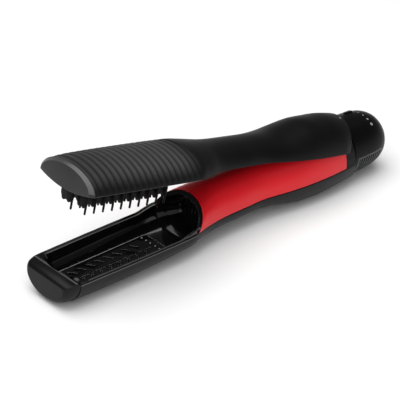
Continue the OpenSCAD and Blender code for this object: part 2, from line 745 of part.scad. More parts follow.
module housing_screws() {
    color("silver") placed()
        for (p = screw_spots)
            translate([p[0], p[1], under_at(p[0], p[1]) + 0.1]) difference() {
                union() {
                    cylinder(r = head_r, h = 0.8, $fn = 32);
                    cylinder(r = screw_r, h = 6, $fn = 24);
                }
                for (a = [0, 90]) rotate(a) translate([-1.5, -0.3, -1]) cube([3, 0.6, 1.5]);
            }
}

// Places of the arm's sections: close together over the ribs, wider along the neck and handle
function rib_wave(x) =
    let (u = (x - ribs_x0) / rib_pitch)
    (u < -0.1 || u > rib_n - 0.4) ? 0 : rib_depth * (0.5 - 0.5 * cos(360 * u));
arm_xs = concat(
    [paddle_x0 + paddle_cap_t + gap],
    [for (i = [0:2 * rib_n - 1]) ribs_x0 + rib_pitch * i / 2],
    [for (d = [3, 9, 14, 19, 25, 33]) channel_l + d],
    [neck_x - 5, neck_x + 10, neck_x + 24, neck_x + 34, neck_x + 42, neck_x + 50, neck_x + 58,
     neck_x + 67, grip_x + 6, hinge_x - 4, seam_x - 9, seam_x - 2]
);

module arm_shell() {
    // The rear edge recedes towards the sides
    function rear(x, p, w) =
        x < seam_x - 10 ? 0 : -5.5 * pow(p[0] / w, 2) * (x > seam_x - 3 ? 1 : 0.45);
    function line(x, t, groove) =
        let (w = curve(arm_half, x) - t, low = arm_edge(x), top = curve(arm_top, x) - t)
        [for (i = [0:hood_n])
            let (a = 180 * i / hood_n,
                 g = groove * min(1, 2.2 * sin(a)),
                 p = [(w - g * abs(cos(a))) * cos(a), low + (top - g - low) * sin(a)])
            [x + rear(x, p, w), p[0], p[1]]];
    color([0.1, 0.1, 0.105]) opened()
        shell_loft([for (x = reversed(arm_xs)) line(x, 0, rib_wave(x))],
                   [for (x = reversed(arm_xs)) line(x, arm_wall, 0)]);
}

// Outline of the paddle's end: arched on top and bulging a little underneath
function lens(x, s, n = 12) =
    let (w = curve(arm_half, x) * s, low = arm_edge(x), up = (curve(arm_top, x) - low) * s)
    concat(
        [for (i = [0:hood_n]) let (a = 180 * i / hood_n) [w * cos(a), low + up * sin(a)]],
        [for (i = [1:n - 1]) let (u = -1 + 2 * i / n) [w * u, low - base_bulge * s * (1 - u * u)]]
    );

module paddle_end_cap() {
    x1 = paddle_x0 + paddle_cap_t;
    color([0.24, 0.24, 0.25]) opened()
        loft([stand(lens(x1, 0.94), paddle_x0), stand(lens(x1, 0.975), paddle_x0 + 0.25),
              stand(lens(x1, 1), paddle_x0 + 1), stand(lens(x1, 1), x1)]);
}

module arm_bracket() {
    // Two ears on the hinge pin, a strap over the hinge block and a boss up to the arm shell
    boss_x = hinge_x - 5;
    reach = curve(arm_top, boss_x) - arm_wall - 0.9 - strap_z;
    ear_x = 6.5;
    color([0.6, 0.6, 0.62]) opened() difference() {
        union() {
            for (s = [-1, 1]) translate([0, s > 0 ? ear_y : -ear_y - ear_t, 0]) {
                translate([hinge_x, 0, hinge_z])
                    rotate([-90, 0, 0]) cylinder(r = ear_r, h = ear_t, $fn = 48);
                translate([hinge_x - ear_x + 0.5, 0, hinge_z])
                    cube([ear_x, ear_t, strap_z + strap_t - hinge_z]);
            }
            translate([hinge_x - 12, -ear_y - ear_t, strap_z])
                cube([12.5, 2 * (ear_y + ear_t), strap_t]);
            translate([boss_x, 0, strap_z]) cylinder(r = 4, h = reach, $fn = 48);
        }
        translate([hinge_x, -ear_y - ear_t - 1, hinge_z]) rotate([-90, 0, 0])
            cylinder(r = pin_rod_r + pin_fit, h = 2 * (ear_y + ear_t) + 2, $fn = 48);
    }
}

// Height of the brush base's underside at a distance from its middle, given as a share
function base_low(x, u) = arm_edge(x) - base_bulge * (1 - u * u) + 0.3;

module brush_base() {
    // A curved plate that closes the paddle from below, with a window for the combs
    n = 12;
    function ring(x) =
        let (w = curve(arm_half, x) - arm_wall - 2.5 * gap)
        stand(concat(
            [for (i = [n:-1:0]) let (u = -1 + 2 * i / n) [w * u, base_low(x, u) + base_t]],
            [for (i = [0:n]) let (u = -1 + 2 * i / n) [w * u, base_low(x, u)]]
        ), x);
    color([0.05, 0.05, 0.05]) opened() difference() {
        loft([ring(base_x0), ring((base_x0 + base_x1) / 2), ring(base_x1)]);
        translate([comb_x0 - gap, near_y - 2 * gap, 0])
            cube([comb_x1 - comb_x0 + 2 * gap, far_y + fin_far_w - near_y + 4 * gap, 60]);
        for (x = boss_xs, y = [-paddle_boss_y, paddle_boss_y])
            translate([x, y, 0]) cylinder(r = screw_r + 0.2, h = 60, $fn = 24);
    }
}

// Lower edge of a fin, with two rounded lobes, over a given width
function fin_edge(w) = concat(
    [[0.3, fin_tip_z + 3]],
    [for (a = [200:28:340]) [w * 0.3 + 1.6 * cos(a), fin_tip_z + 1.6 + 1.6 * sin(a)]],
    [for (a = [200:28:340]) [w * 0.72 + 1.8 * cos(a), fin_tip_z + 1.8 + 1.8 * sin(a)]],
    [[w - 0.3, fin_tip_z + 4.4]]
);

// One comb: a strip with fins across it, each with a long pin at its near end
module comb(x0, y0, w) {
    strip_t = 1.9;
    function under(x) = arm_edge(x) - base_bulge - 0.05;
    pin_y = 0.9;
    translate([0, y0, 0]) {
        translate([0, w, 0]) rotate([90, 0, 0]) linear_extrude(w) polygon([
            [comb_x0, under(comb_x0)], [comb_x1, under(comb_x1)],
            [comb_x1, under(comb_x1) + strip_t], [comb_x0, under(comb_x0) + strip_t]
        ]);
        for (i = [0:fin_n - 1]) translate([x0 + i * fin_pitch, 0, 0]) {
            root = under(x0 + i * fin_pitch) + strip_t / 2;
            translate([-fin_t / 2, 0, 0]) rotate([90, 0, 90])
                linear_extrude(fin_t) polygon(concat([[0.3, root]], fin_edge(w), [[w - 0.3, root]]));
            translate([0, pin_y, pin_tip_z + pin_r]) {
                cylinder(r1 = pin_r, r2 = pin_r + 0.3, h = root - pin_tip_z - pin_r, $fn = 24);
                sphere(r = pin_r, $fn = 24);
            }
        }
    }
}

module comb_far() {
    color([0.05, 0.05, 0.05]) opened() comb(far_x, far_y, fin_far_w);
}

module comb_near() {
    color([0.05, 0.05, 0.05]) opened() comb(near_x, near_y, fin_near_w);
}

module paddle_bosses() {
    // Screw bosses of the paddle, between its ceiling and the brush base
    color([0.1, 0.1, 0.105]) opened()
        for (x = boss_xs, y = [-paddle_boss_y, paddle_boss_y]) {
            w = curve(arm_half, x) - arm_wall;
            u = (paddle_boss_y + 3) / w;
            low = base_low(x, u) + base_t + 0.3;
            top = arm_edge(x) + (curve(arm_top, x) - arm_wall - arm_edge(x)) * sqrt(1 - u * u) - 0.7;
            translate([x, y, low]) difference() {
                cylinder(r = 3, h = top - low, $fn = 32);
                translate([0, 0, -1]) cylinder(r = screw_r + fit, h = 6, $fn = 32);
            }
        }
}

module base_screws() {
    color("silver") opened()
        for (x = boss_xs, y = [-paddle_boss_y, paddle_boss_y]) {
            u = (paddle_boss_y - head_r) / (curve(arm_half, x) - arm_wall - 2 * gap);
            translate([x, y, base_low(x, u) - 1]) difference() {
                union() {
                    cylinder(r = head_r, h = 0.9, $fn = 32);
                    cylinder(r = screw_r, h = 6, $fn = 24);
                }
                for (a = [0, 90]) rotate(a) translate([-1.5, -0.3, -1]) cube([3, 0.6, 1.5]);
            }
        }
}

// Lower edge and height of the dial's vent windows, from the dial's axis
vent_low = -13.4;
vent_h = 12.6;

// Radius of the dial along its length
function dial_at(t) = pow(1 - pow(t, 4.1), 1 / 2.3);
dial_ts = [0, 0.2, 0.35, 0.5, 0.62, 0.72, 0.8, 0.87, 0.92, 0.955, 0.975];

module dial_profile(r, l, hole) {
    polygon(concat(
        [[hole, 0]],
        [for (t = dial_ts) [r * dial_at(t), l * t]],
        [[hole, l * dial_ts[len(dial_ts) - 1]]]
    ));
}

module dial_wall_solid() {
    rotate([0, 90, 0]) difference() {
        rotate_extrude($fn = 96) dial_profile(dial_r, dial_l, 0);
        translate([0, 0, -0.01]) rotate_extrude($fn = 96)
            dial_profile(dial_r - dial_wall, dial_l - dial_wall * 1.6, 0);
    }
}

module vent_window(grow) {
    l = vent_pitch * vent_n + 2;
    for (s = [-1, 1])
        translate([3 - grow, s > 0 ? 13 : -13 - dial_r, vent_low - grow])
            cube([l + 2 * grow, dial_r, vent_h + 2 * grow]);
}

module dial_cap() {
    color([0.06, 0.06, 0.065]) placed() translate([seam_x, 0, dial_z]) {
        difference() {
            union() {
                dial_wall_solid();
                translate([1.2, 0, 0]) rod_x(dial_r - dial_wall + 0.4, 2.4);
                // Thumb ridge on top, a little to the far side
                rotate([-14, 0, 0]) translate([14.5, -2.2, dial_r - 2.4]) cube([7.5, 4.4, 4.2]);
            }
            translate([-1, 0, 0]) rod_x(spigot_r + dial_fit, 6);
            vent_window(0);
            translate([dial_l - 12, 0, 0]) rod_x(bush_r + dial_fit, 20);
        }
    }
}

module intake_grilles() {
    color([0.16, 0.17, 0.17]) placed() translate([seam_x, 0, dial_z]) difference() {
        intersection() {
            dial_wall_solid();
            vent_window(-0.1);
        }
        for (i = [0:vent_n - 1], s = [-1, 1])
            translate([3 + 1.8 + i * vent_pitch, s > 0 ? 10 : -10 - dial_r, vent_low + 1.6])
                cube([vent_pitch * 0.5, dial_r, vent_h - 3.2]);
    }
}

channel();
channel_end_cap();
floor_panel();
mouth_liner();
duct_cover();
lower_shell();
rear_bulkhead();
hinge_block();
hinge_pin();
opening_spring();
heater_sleeve();
sleeve_rings();
heater_cross();
heater_coil();
thermostat();
thermal_fuse();
fan_motor();
motor_mount();
motor_shaft();
fan_impeller();
control_board();
board_parts();
switch_block();
dust_screen();
cord_bush();
housing_screws();
arm_shell();
paddle_end_cap();
arm_bracket();
brush_base();
comb_far();
comb_near();
paddle_bosses();
base_screws();
dial_cap();
intake_grilles();
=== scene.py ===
"""Hot air straightening brush: the dressed model round its packed CAD frame."""

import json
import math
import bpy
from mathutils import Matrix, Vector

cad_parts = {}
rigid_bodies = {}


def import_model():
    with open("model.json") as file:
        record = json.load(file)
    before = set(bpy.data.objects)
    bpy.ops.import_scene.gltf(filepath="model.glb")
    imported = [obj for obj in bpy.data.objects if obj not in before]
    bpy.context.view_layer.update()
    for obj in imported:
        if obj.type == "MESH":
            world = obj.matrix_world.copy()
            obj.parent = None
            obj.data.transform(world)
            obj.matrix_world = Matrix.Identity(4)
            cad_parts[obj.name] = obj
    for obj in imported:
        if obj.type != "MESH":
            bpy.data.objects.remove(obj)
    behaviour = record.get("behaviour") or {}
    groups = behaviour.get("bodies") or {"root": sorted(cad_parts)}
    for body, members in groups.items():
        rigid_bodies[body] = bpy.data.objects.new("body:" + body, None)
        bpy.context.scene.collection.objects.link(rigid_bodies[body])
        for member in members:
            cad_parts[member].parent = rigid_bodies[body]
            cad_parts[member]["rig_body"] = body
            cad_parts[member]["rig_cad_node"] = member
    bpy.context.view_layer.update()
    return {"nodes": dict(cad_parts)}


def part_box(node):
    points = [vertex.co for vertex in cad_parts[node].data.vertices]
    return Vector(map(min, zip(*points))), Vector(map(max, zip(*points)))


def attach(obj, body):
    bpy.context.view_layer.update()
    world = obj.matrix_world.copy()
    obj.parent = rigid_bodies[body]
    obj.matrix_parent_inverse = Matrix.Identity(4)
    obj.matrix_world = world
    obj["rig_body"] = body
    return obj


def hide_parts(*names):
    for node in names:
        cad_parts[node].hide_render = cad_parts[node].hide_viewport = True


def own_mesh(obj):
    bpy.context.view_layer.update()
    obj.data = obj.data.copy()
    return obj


bl_info = {
    "name": "Hot Air Straightening Brush",
    "version": (1, 0, 0),
    "blender": (4, 5, 0),
    "location": "View3D > Sidebar > Brush",
    "description": "Builds a hot air straightening brush with its finishes, light and camera",
    "category": "Object",
}

import bmesh
import bpy
from bpy.props import FloatProperty, FloatVectorProperty, IntProperty, PointerProperty
from mathutils import Matrix, Vector

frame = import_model()

# Pieces are drawn in millimetres, closed, with X from the tip's rim to the dial's end
MM = 0.001
END_X = 300.0
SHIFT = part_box("cord_bush")[1].x / MM - END_X
GAP = 0.2

# The arm turns up about the hinge to the photographed position
HINGE_X, HINGE_Z = 240.5, 36.0
OPEN = math.radians(12.8)
PLACED = Matrix.Scale(MM, 4) @ Matrix.Translation((SHIFT, 0, 0))
OPENED = (
    PLACED
    @ Matrix.Translation((HINGE_X, 0, HINGE_Z))
    @ Matrix.Rotation(OPEN, 4, "Y")
    @ Matrix.Translation((-HINGE_X, 0, -HINGE_Z))
)

# Channel: its length, wall, rim, satin skirt under the rim, and the lean of both ends
CHANNEL_L = 101.0
CHANNEL_WALL = 3.0
RIM_Z = 20.0
SKIRT_Z = 18.3
TIP_LEAN = math.tan(math.radians(6))
MOUTH_LEAN = 0.72
# Outline of the stepped rim: distance in from the side, and height over the rim
RIM_STEP = [
    (0.06, -0.6), (0.25, -0.22), (0.6, 0.0), (1.15, 0.0), (1.4, -0.12), (1.55, -0.5),
    (1.7, -0.9), (1.95, -1.08), (2.35, -1.12), (2.7, -1.3), (2.9, -1.7),
]
# The dished end of the trough, as middle and radii, and the notch and lug at its near corner
DISH = ((12.0, 2.5, 22.0), (11.8, 21.0, 9.0))
NOTCH = ((1.4, -20.9, 17.2), (16, -12.4, 25))
LUG = ((3.3, -18.2, 17), (5.6, -14.8, 19.5))

# Handle and arm
SPLIT_Z = 19.0
COLLAR_X = 245.3
SEAM_X = 256.5
SHELL_WALL = 2.0
ARM_WALL = 1.8
RIBS_X = 8.6
BASE_CROWN = 4.2

# Dial: its axis, radius, length and outline, and the height of the windows in its flanks
AXIS_Z = 22.8
DIAL_R = 22.1
DIAL_L = 43.5
DIAL_TAPER, DIAL_ROUND = 4.6, 2.3
WINDOW_Z = (AXIS_Z - 13.4, AXIS_Z - 0.8)

# Screws: places on the housing and on the brush base, radii and length
HOUSING_SPOTS = ((213, 11), (213, -11), (250.6, 10), (250.6, -10))
BASE_SPOTS = [(x, y) for x in (17.4, 81.0) for y in (-18, 18)]
SCREW = {"Head": 2.6, "Shank": 1.3, "Length": 6.0}

# Smooth lines along the brush, as (place, value) points
BODY_HALF = [
    (0, 23.6), (50.5, 24.5), (93, 24.6), (101, 23.9), (112, 21.2), (129, 18.9), (150, 18.5),
    (168, 18.4), (187, 21.5), (204, 23.6), (222, 24.5), (240.5, 24.1), (256.5, 22.4),
]
UNDER_Z = [
    (-10, -0.8), (0, -0.5), (50.5, 1), (91, 3.4), (112, 5.4), (129, 6.6), (150, 6.9), (170, 6.8),
    (187, 3.6), (204, 0.3), (222, -0.6), (240.5, 0.3), (256.5, 1.2),
]
ARM_TOP = [
    (0, 38.6), (4, 39.8), (8, 41), (20, 42.9), (60, 44.6), (101, 45.3), (115, 44.5), (130, 43.6),
    (150, 43.8), (170, 44.3), (185, 45.3), (200, 48.5), (215, 52.2), (230, 53.4), (240.5, 53.9),
    (256.5, 52.9),
]
ARM_HALF = [
    (0, 27.25), (99, 27.25), (106, 25.45), (113, 23.4), (122, 20.2), (135, 19.1), (150, 18.9),
    (168, 18.8), (187, 21.9), (204, 24.1), (222, 24.9), (240.5, 24.5), (256.5, 23.2),
]
COVER_LEAN = [
    (101, MOUTH_LEAN), (106, 0.62), (112, 0.5), (120, 0.33), (130, 0.15), (142, 0), (246, 0),
]
COVER_RISE = [(101, 17), (106, 18.3), (112, 19.4), (120, 20.3), (130, 20.9)]


# Settings


def distance(name, description, millimetres):
    """A length that the panel shows in the scene's units."""
    return FloatProperty(
        name=name, description=description, default=millimetres * MM,
        subtype="DISTANCE", unit="LENGTH",
    )


def colour(name, description, red, green, blue):
    return FloatVectorProperty(
        name=name, description=description, default=(red, green, blue), subtype="COLOR"
    )


class BrushSizes(bpy.types.PropertyGroup):
    """Sizes of the details that the scene adds to the frame."""

    rib_count: IntProperty(
        name="Grooves", description="Grooves across the paddle's grip", default=18, min=6, max=24
    )
    rib_pitch: distance("Groove spacing", "Distance from groove to groove", 4.97)
    rib_depth: distance("Groove depth", "Depth of the grooves at the crown", 0.75)
    fin_count: IntProperty(
        name="Fins", description="Fins and pins in each comb", default=10, min=4, max=12
    )
    fin_pitch: distance("Fin spacing", "Distance from fin to fin", 7.46)
    slat_count: IntProperty(
        name="Slats", description="Slats in each intake grille", default=9, min=3, max=9
    )
    slat_pitch: distance("Slat spacing", "Distance from slat to slat", 2.5)


class BrushFinishes(bpy.types.PropertyGroup):
    """Colours of the finishes."""

    gloss_black: colour("Gloss black", "Channel and mouth", 0.0035, 0.0035, 0.0037)
    cap_grey: colour("Cap grey", "End cap of the channel", 0.0085, 0.0085, 0.0087)
    paddle_grey: colour("Paddle cap grey", "End cap of the paddle", 0.027, 0.027, 0.0273)
    cover_red: colour("Red", "Duct cover", 0.69, 0.009, 0.016)
    satin_black: colour("Satin black", "Lower shell and skirt", 0.008, 0.008, 0.0085)
    vent_grey: colour("Vent grey", "Intake grilles", 0.042, 0.043, 0.044)
    soft_black: colour("Soft black", "Arm shell", 0.0035, 0.0035, 0.0036)
    # Painted light on the crown of the ribs, where light falls on them
    rib_painted_light: colour("Rib painted light", "Painted light on the crown of the arm's ribs", 0.066, 0.066, 0.067)
    dial_black: colour("Dial black", "Dial and collar", 0.0035, 0.0035, 0.0036)
    brush_black: colour("Brush black", "Combs and brush base", 0.0025, 0.0025, 0.0026)


# Curves and sections


def curve(points, x):
    """Height of a smooth line through (place, value) points."""
    i = 0
    while i < len(points) - 2 and x >= points[i + 1][0]:
        i += 1

    def slope(k):
        a, b = points[max(k - 1, 0)], points[min(k + 1, len(points) - 1)]
        return (b[1] - a[1]) / (b[0] - a[0])

    (x0, v0), (x1, v1) = points[i], points[i + 1]
    h = x1 - x0
    t = min(max((x - x0) / h, 0), 1)
    s = 1 - t
    return (
        v0 * (1 + 2 * t) * s * s
        + v1 * (3 - 2 * t) * t * t
        + slope(i) * h * t * s * s
        - slope(i + 1) * h * t * t * s
    )


def ease(t):
    """Soft step from 0 to 1."""
    t = min(max(t, 0), 1)
    return t * t * (3 - 2 * t)


def spow(v, e):
    """Power that keeps the sign."""
    return math.copysign(abs(v) ** e, v)


def under(x):
    return curve(UNDER_Z, x)


def under_at(x, y):
    """Height of the handle's underside, where it clears the table."""
    w, low = curve(BODY_HALF, x), max(under(x), 0)
    return SPLIT_Z - (SPLIT_Z - low) * (1 - (abs(y) / w) ** 2.3) ** (1 / 2.3)


def arm_edge(x):
    return 27.7 + 0.0185 * x


def arm_foot(x):
    """Height at which the rounded lower edge of the arm's wall begins."""
    return arm_edge(x) + 0.8


def rim_at(x):
    """Height of the channel's rim, which sweeps up at the mouth."""
    return RIM_Z + 3 * ease((x - CHANNEL_L + 16) / 16)


def tip_lean(x):
    return TIP_LEAN * (1 - ease((x - 2.8) / 27))


def cover_top(x):
    if x < COVER_RISE[-1][0]:
        return SPLIT_Z + curve(COVER_RISE, x)
    return curve(ARM_TOP, x) - ARM_WALL - 2


def dial_r(t, r=DIAL_R):
    """Radius of the dial at a share of its length."""
    return r * (1 - t**DIAL_TAPER) ** (1 / DIAL_ROUND)


def turns(n):
    return [2 * math.pi * i / n for i in range(n)]


def circle(x, y, r, n):
    return [(x + r * math.cos(a), y + r * math.sin(a)) for a in turns(n)]


def steps(a, b, size):
    """Even places from a to b, about size apart, both ends included."""
    n = max(1, round((b - a) / size))
    return [a + (b - a) * i / n for i in range(n + 1)]


def bowl(w, top, low, e=2.3):
    """Lower half of a section in 49 points, from +Y round the underside to -Y."""
    line = []
    for i in range(49):
        a = math.pi * i / 48
        z = top - (top - low) * math.sin(a) ** (2 / e)
        line.append((w * spow(math.cos(a), 2 / e), max(z, 0.0)))
    return line


def hood(w, low, top):
    """Upper half of a section in 65 points, from +Y over the top to -Y."""
    arc = (math.pi * i / 64 for i in range(65))
    return [(w * math.cos(a), low + (top - low) * math.sin(a)) for a in arc]


def edge_round(middle, r, z, rise, angles):
    """Rounded edge of a wall, from its outside to its inside."""
    arc = (*angles, math.pi / 2, *(math.pi - a for a in angles[::-1]))
    return [(middle + r * math.cos(a), z + rise * math.sin(a)) for a in arc]


def wall_line(outer, edge, inner):
    """Closed line round a wall: outside, far edge, inside, near edge."""
    return outer + [(-y, z) for y, z in edge] + inner[::-1] + edge[::-1]


def eased_ends(xs, r):
    """Places with their inset, so that both ends of a wall are rounded by r."""
    rows = [(xs[0] + r * (1 - math.cos(a)), r * (1 - math.sin(a))) for a in (0.0, 0.5, 1.05)]
    rows += [(x, 0.0) for x in xs if xs[0] + r < x < xs[-1] - r]
    rows += [(xs[-1] - r * (1 - math.cos(a)), r * (1 - math.sin(a))) for a in (1.05, 0.5, 0.0)]
    return rows


# Meshes


def mesh_object(name, points, faces):
    mesh = bpy.data.meshes.new(name)
    mesh.from_pydata(points, [], faces)
    obj = bpy.data.objects.new(name, mesh)
    bpy.context.scene.collection.objects.link(obj)
    return obj


def outward(obj):
    """Merges doubled points and turns every face outwards."""
    bm = bmesh.new()
    bm.from_mesh(obj.data)
    bmesh.ops.remove_doubles(bm, verts=bm.verts, dist=1e-5)
    bmesh.ops.recalc_face_normals(bm, faces=bm.faces)
    if bm.calc_volume(signed=True) < 0:
        bmesh.ops.reverse_faces(bm, faces=bm.faces)
    bm.to_mesh(obj.data)
    bm.free()
    return obj


def side_faces(count, n):
    """Faces between closed rings of n points each."""
    return [
        (i * n + j, i * n + (j + 1) % n, (i + 1) * n + (j + 1) % n, (i + 1) * n + j)
        for i in range(count - 1)
        for j in range(n)
    ]


def loft(name, rings):
    """Closed skin through closed rings with equal counts."""
    n, last = len(rings[0]), (len(rings) - 1) * len(rings[0])
    faces = side_faces(len(rings), n)
    faces += [tuple(range(n - 1, -1, -1)), tuple(last + j for j in range(n))]
    return outward(mesh_object(name, [p for ring in rings for p in ring], faces))


def wall_loft(name, rings, half):
    """Skin through wall lines, whose ends are closed by strips across the wall."""
    n = len(rings[0])
    faces = side_faces(len(rings), n)
    for base in (0, (len(rings) - 1) * n):
        for j in range(half - 1):
            faces.append((base + j, base + j + 1, base + n - 2 - j, base + n - 1 - j))
        middle = [base + j for j in range(half - 1, n - half + 1)]
        if len(middle) > 2:
            faces.append(tuple(middle))
    return outward(mesh_object(name, [p for ring in rings for p in ring], faces))


def spin_x(name, profile):
    """Ring-shaped solid from a profile of (place, radius) points turned about the dial's axis."""
    n, m, points = 160, len(profile), []
    for a in turns(n):
        c, s = math.cos(a), math.sin(a)
        points += [(SEAM_X + x, r * s, AXIS_Z + r * c) for x, r in profile]
    faces = [
        (k * m + j, k * m + (j + 1) % m, (k + 1) % n * m + (j + 1) % m, (k + 1) % n * m + j)
        for k in range(n)
        for j in range(m)
    ]
    return outward(mesh_object(name, points, faces))


def box_object(name, low, high):
    (x0, y0, z0), (x1, y1, z1) = low, high
    points = [(x, y, z) for z in (z0, z1) for y in (y0, y1) for x in (x0, x1)]
    faces = [(0, 2, 3, 1), (4, 5, 7, 6), (0, 1, 5, 4), (2, 6, 7, 3), (0, 4, 6, 2), (1, 3, 7, 5)]
    return outward(mesh_object(name, points, faces))


def prism(name, outline, low, high, axis="Z"):
    """Straight solid over a flat outline of points, standing along one axis."""
    turn = {
        "Z": lambda u, v, w: (u, v, w),
        "X": lambda u, v, w: (w, u, v),
        "Y": lambda u, v, w: (u, w, v),
    }[axis]
    n = len(outline)
    points = [turn(u, v, w) for w in (low, high) for u, v in outline]
    faces = [tuple(range(n - 1, -1, -1)), tuple(range(n, 2 * n))]
    faces += [(i, (i + 1) % n, n + (i + 1) % n, n + i) for i in range(n)]
    return outward(mesh_object(name, points, faces))


def evaluated(obj):
    """Turns an object with its modifiers into a plain mesh."""
    bpy.context.view_layer.update()
    graph = bpy.context.evaluated_depsgraph_get()
    mesh = bpy.data.meshes.new_from_object(obj.evaluated_get(graph))
    if not mesh.polygons:
        raise RuntimeError(f"{obj.name} came out empty")
    obj.modifiers.clear()
    old = obj.data
    obj.data = mesh
    bpy.data.meshes.remove(old)
    return obj


def combine(obj, others, operation):
    """Cuts the others out of a piece, joins them to it or keeps what they share."""
    for other in others:
        modifier = obj.modifiers.new("fit", "BOOLEAN")
        modifier.operation = operation
        modifier.solver = "MANIFOLD"
        modifier.object = other
        evaluated(obj)
        bpy.data.objects.remove(other)
    return obj


def round_edges(obj, width, segments=2):
    """Rounds every edge that turns by more than 50 degrees."""
    modifier = obj.modifiers.new("edges", "BEVEL")
    modifier.width = width
    modifier.segments = segments
    modifier.limit_method = "ANGLE"
    modifier.angle_limit = math.radians(50)
    modifier.harden_normals = False
    return evaluated(obj)


def join(obj, *others):
    """Adds the meshes of the others to one piece as separate solids."""
    bm = bmesh.new()
    bm.from_mesh(obj.data)
    for other in others:
        bm.from_mesh(other.data)
        bpy.data.objects.remove(other)
    bm.to_mesh(obj.data)
    bm.free()
    return obj


def cad_copy(node, name):
    """A merged copy of a CAD node's mesh in the drawing's millimetres."""
    piece = frame["nodes"][node].copy()
    piece.data = piece.data.copy()
    piece.name = name
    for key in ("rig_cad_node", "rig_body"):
        del piece[key]
    piece.parent = None
    bpy.context.scene.collection.objects.link(piece)
    piece.data.transform(PLACED.inverted())
    return outward(piece)


def settle(obj, body, nodes, slot=None, look=None, place=PLACED, angle=32):
    """Puts a drawn piece on its body in the stead of its CAD nodes.

    It has the finish of its slot, or the look where that is given.
    """
    obj.data.transform(place)
    obj.data.shade_smooth()
    obj.data.set_sharp_from_angle(angle=math.radians(angle))
    obj.data.materials.clear()
    obj.data.materials.append(finish(look or slot))
    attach(obj, body)
    if nodes:
        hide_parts(*nodes)


def refinish(piece, names, choose, place=PLACED):
    """Adds finishes, and gives each face the one chosen by its middle in the drawing."""
    for name in names:
        piece.data.materials.append(finish(name))
    drawn = place.inverted()
    for face in piece.data.polygons:
        face.material_index = choose(face, *(drawn @ face.center))


# Node trees


def feed(tree, value, socket):
    """Sets a socket to a value, or links it to another socket."""
    if isinstance(value, bpy.types.NodeSocket):
        tree.links.new(value, socket)
    else:
        socket.default_value = value


def added(tree, kind, inputs=None, **traits):
    """A new node with the given traits and its inputs fed."""
    node = tree.nodes.new(kind)
    for trait, value in traits.items():
        setattr(node, trait, value)
    for label, value in (inputs or {}).items():
        feed(tree, value, node.inputs[label])
    return node


def new_tree(name, inputs):
    """Node tree with a geometry in and out and the given named inputs."""
    tree = bpy.data.node_groups.new(name, "GeometryNodeTree")
    tree.interface.new_socket("Geometry", in_out="INPUT", socket_type="NodeSocketGeometry")
    for label, kind, value in (*inputs, ("Material", "Material", None)):
        kind = "NodeSocket" + kind
        socket = tree.interface.new_socket(label, in_out="INPUT", socket_type=kind)
        if value is not None:
            socket.default_value = value
    tree.interface.new_socket("Geometry", in_out="OUTPUT", socket_type="NodeSocketGeometry")
    return tree, tree.nodes.new("NodeGroupInput"), tree.nodes.new("NodeGroupOutput")


def run_tree(obj, tree, values):
    """Runs a tree on an object with named inputs and keeps the plain mesh."""
    modifier = obj.modifiers.new(tree.name, "NODES")
    modifier.node_group = tree
    for item in tree.interface.items_tree:
        if item.in_out == "INPUT" and item.name in values:
            modifier[item.identifier] = values[item.name]
    return evaluated(obj)


def sums(tree):
    """Short way to add a math node to a tree."""

    def maths(operation, a, b=0.0):
        node = added(tree, "ShaderNodeMath", {0: a, 1: b}, operation=operation)
        return node.outputs["Value"]

    return maths


def vector(tree, **parts):
    """A vector put together from numbers or sockets named X, Y and Z."""
    return added(tree, "ShaderNodeCombineXYZ", parts).outputs["Vector"]


def place_x(tree):
    """Distance along the brush of each point."""
    place = added(tree, "GeometryNodeInputPosition").outputs["Position"]
    return added(tree, "ShaderNodeSeparateXYZ", {"Vector": place}).outputs["X"]


def row_of_points(tree, count, step, start=(0, 0, 0)):
    """An even row of points."""
    inputs = {"Count": count, "Offset": step, "Start Location": start}
    return added(tree, "GeometryNodeMeshLine", inputs, mode="OFFSET").outputs["Mesh"]


def copies(tree, points, mesh, size=(1, 1, 1)):
    """Copies of a mesh on points."""
    inputs = {"Points": points, "Instance": mesh, "Scale": size}
    return added(tree, "GeometryNodeInstanceOnPoints", inputs).outputs["Instances"]


def painted(tree, geometry, start, end):
    """Last steps of every tree: real geometry in one material."""
    real = added(tree, "GeometryNodeRealizeInstances", {"Geometry": geometry})
    inputs = {"Geometry": real.outputs["Geometry"], "Material": start.outputs["Material"]}
    paint = added(tree, "GeometryNodeSetMaterial", inputs)
    tree.links.new(paint.outputs["Geometry"], end.inputs["Geometry"])
    return tree


def rib_tree():
    """Presses a run of rounded grooves into the side of a wall that is marked as outer."""
    tree, start, end = new_tree(
        "Ribbed wall",
        [
            ("Grooves", "Int", 18), ("Spacing", "Float", 5.0), ("Depth", "Float", 0.75),
            ("First", "Float", RIBS_X),
        ],
    )
    given, maths = start.outputs, sums(tree)
    along = maths("DIVIDE", maths("SUBTRACT", place_x(tree), given["First"]), given["Spacing"])
    swing = maths("COSINE", maths("MULTIPLY", along, 2 * math.pi))
    wave = maths("SUBTRACT", 0.5, maths("MULTIPLY", 0.5, swing))
    begun = maths("GREATER_THAN", along, 0.0)
    inside = maths("MULTIPLY", begun, maths("LESS_THAN", along, given["Grooves"]))
    outer = added(tree, "GeometryNodeInputNamedAttribute", {"Name": "outer"}, data_type="FLOAT")
    cut = maths("MULTIPLY", maths("POWER", wave, 1.3), given["Depth"])
    cut = maths("MULTIPLY", cut, maths("MULTIPLY", inside, outer.outputs["Attribute"]))
    normal = added(tree, "GeometryNodeInputNormal").outputs["Normal"]
    inputs = {0: normal, "Scale": maths("MULTIPLY", cut, -1.0)}
    inward = added(tree, "ShaderNodeVectorMath", inputs, operation="SCALE")
    inputs = {"Geometry": given["Geometry"], "Offset": inward.outputs["Vector"]}
    press = added(tree, "GeometryNodeSetPosition", inputs)
    return painted(tree, press.outputs["Geometry"], start, end)


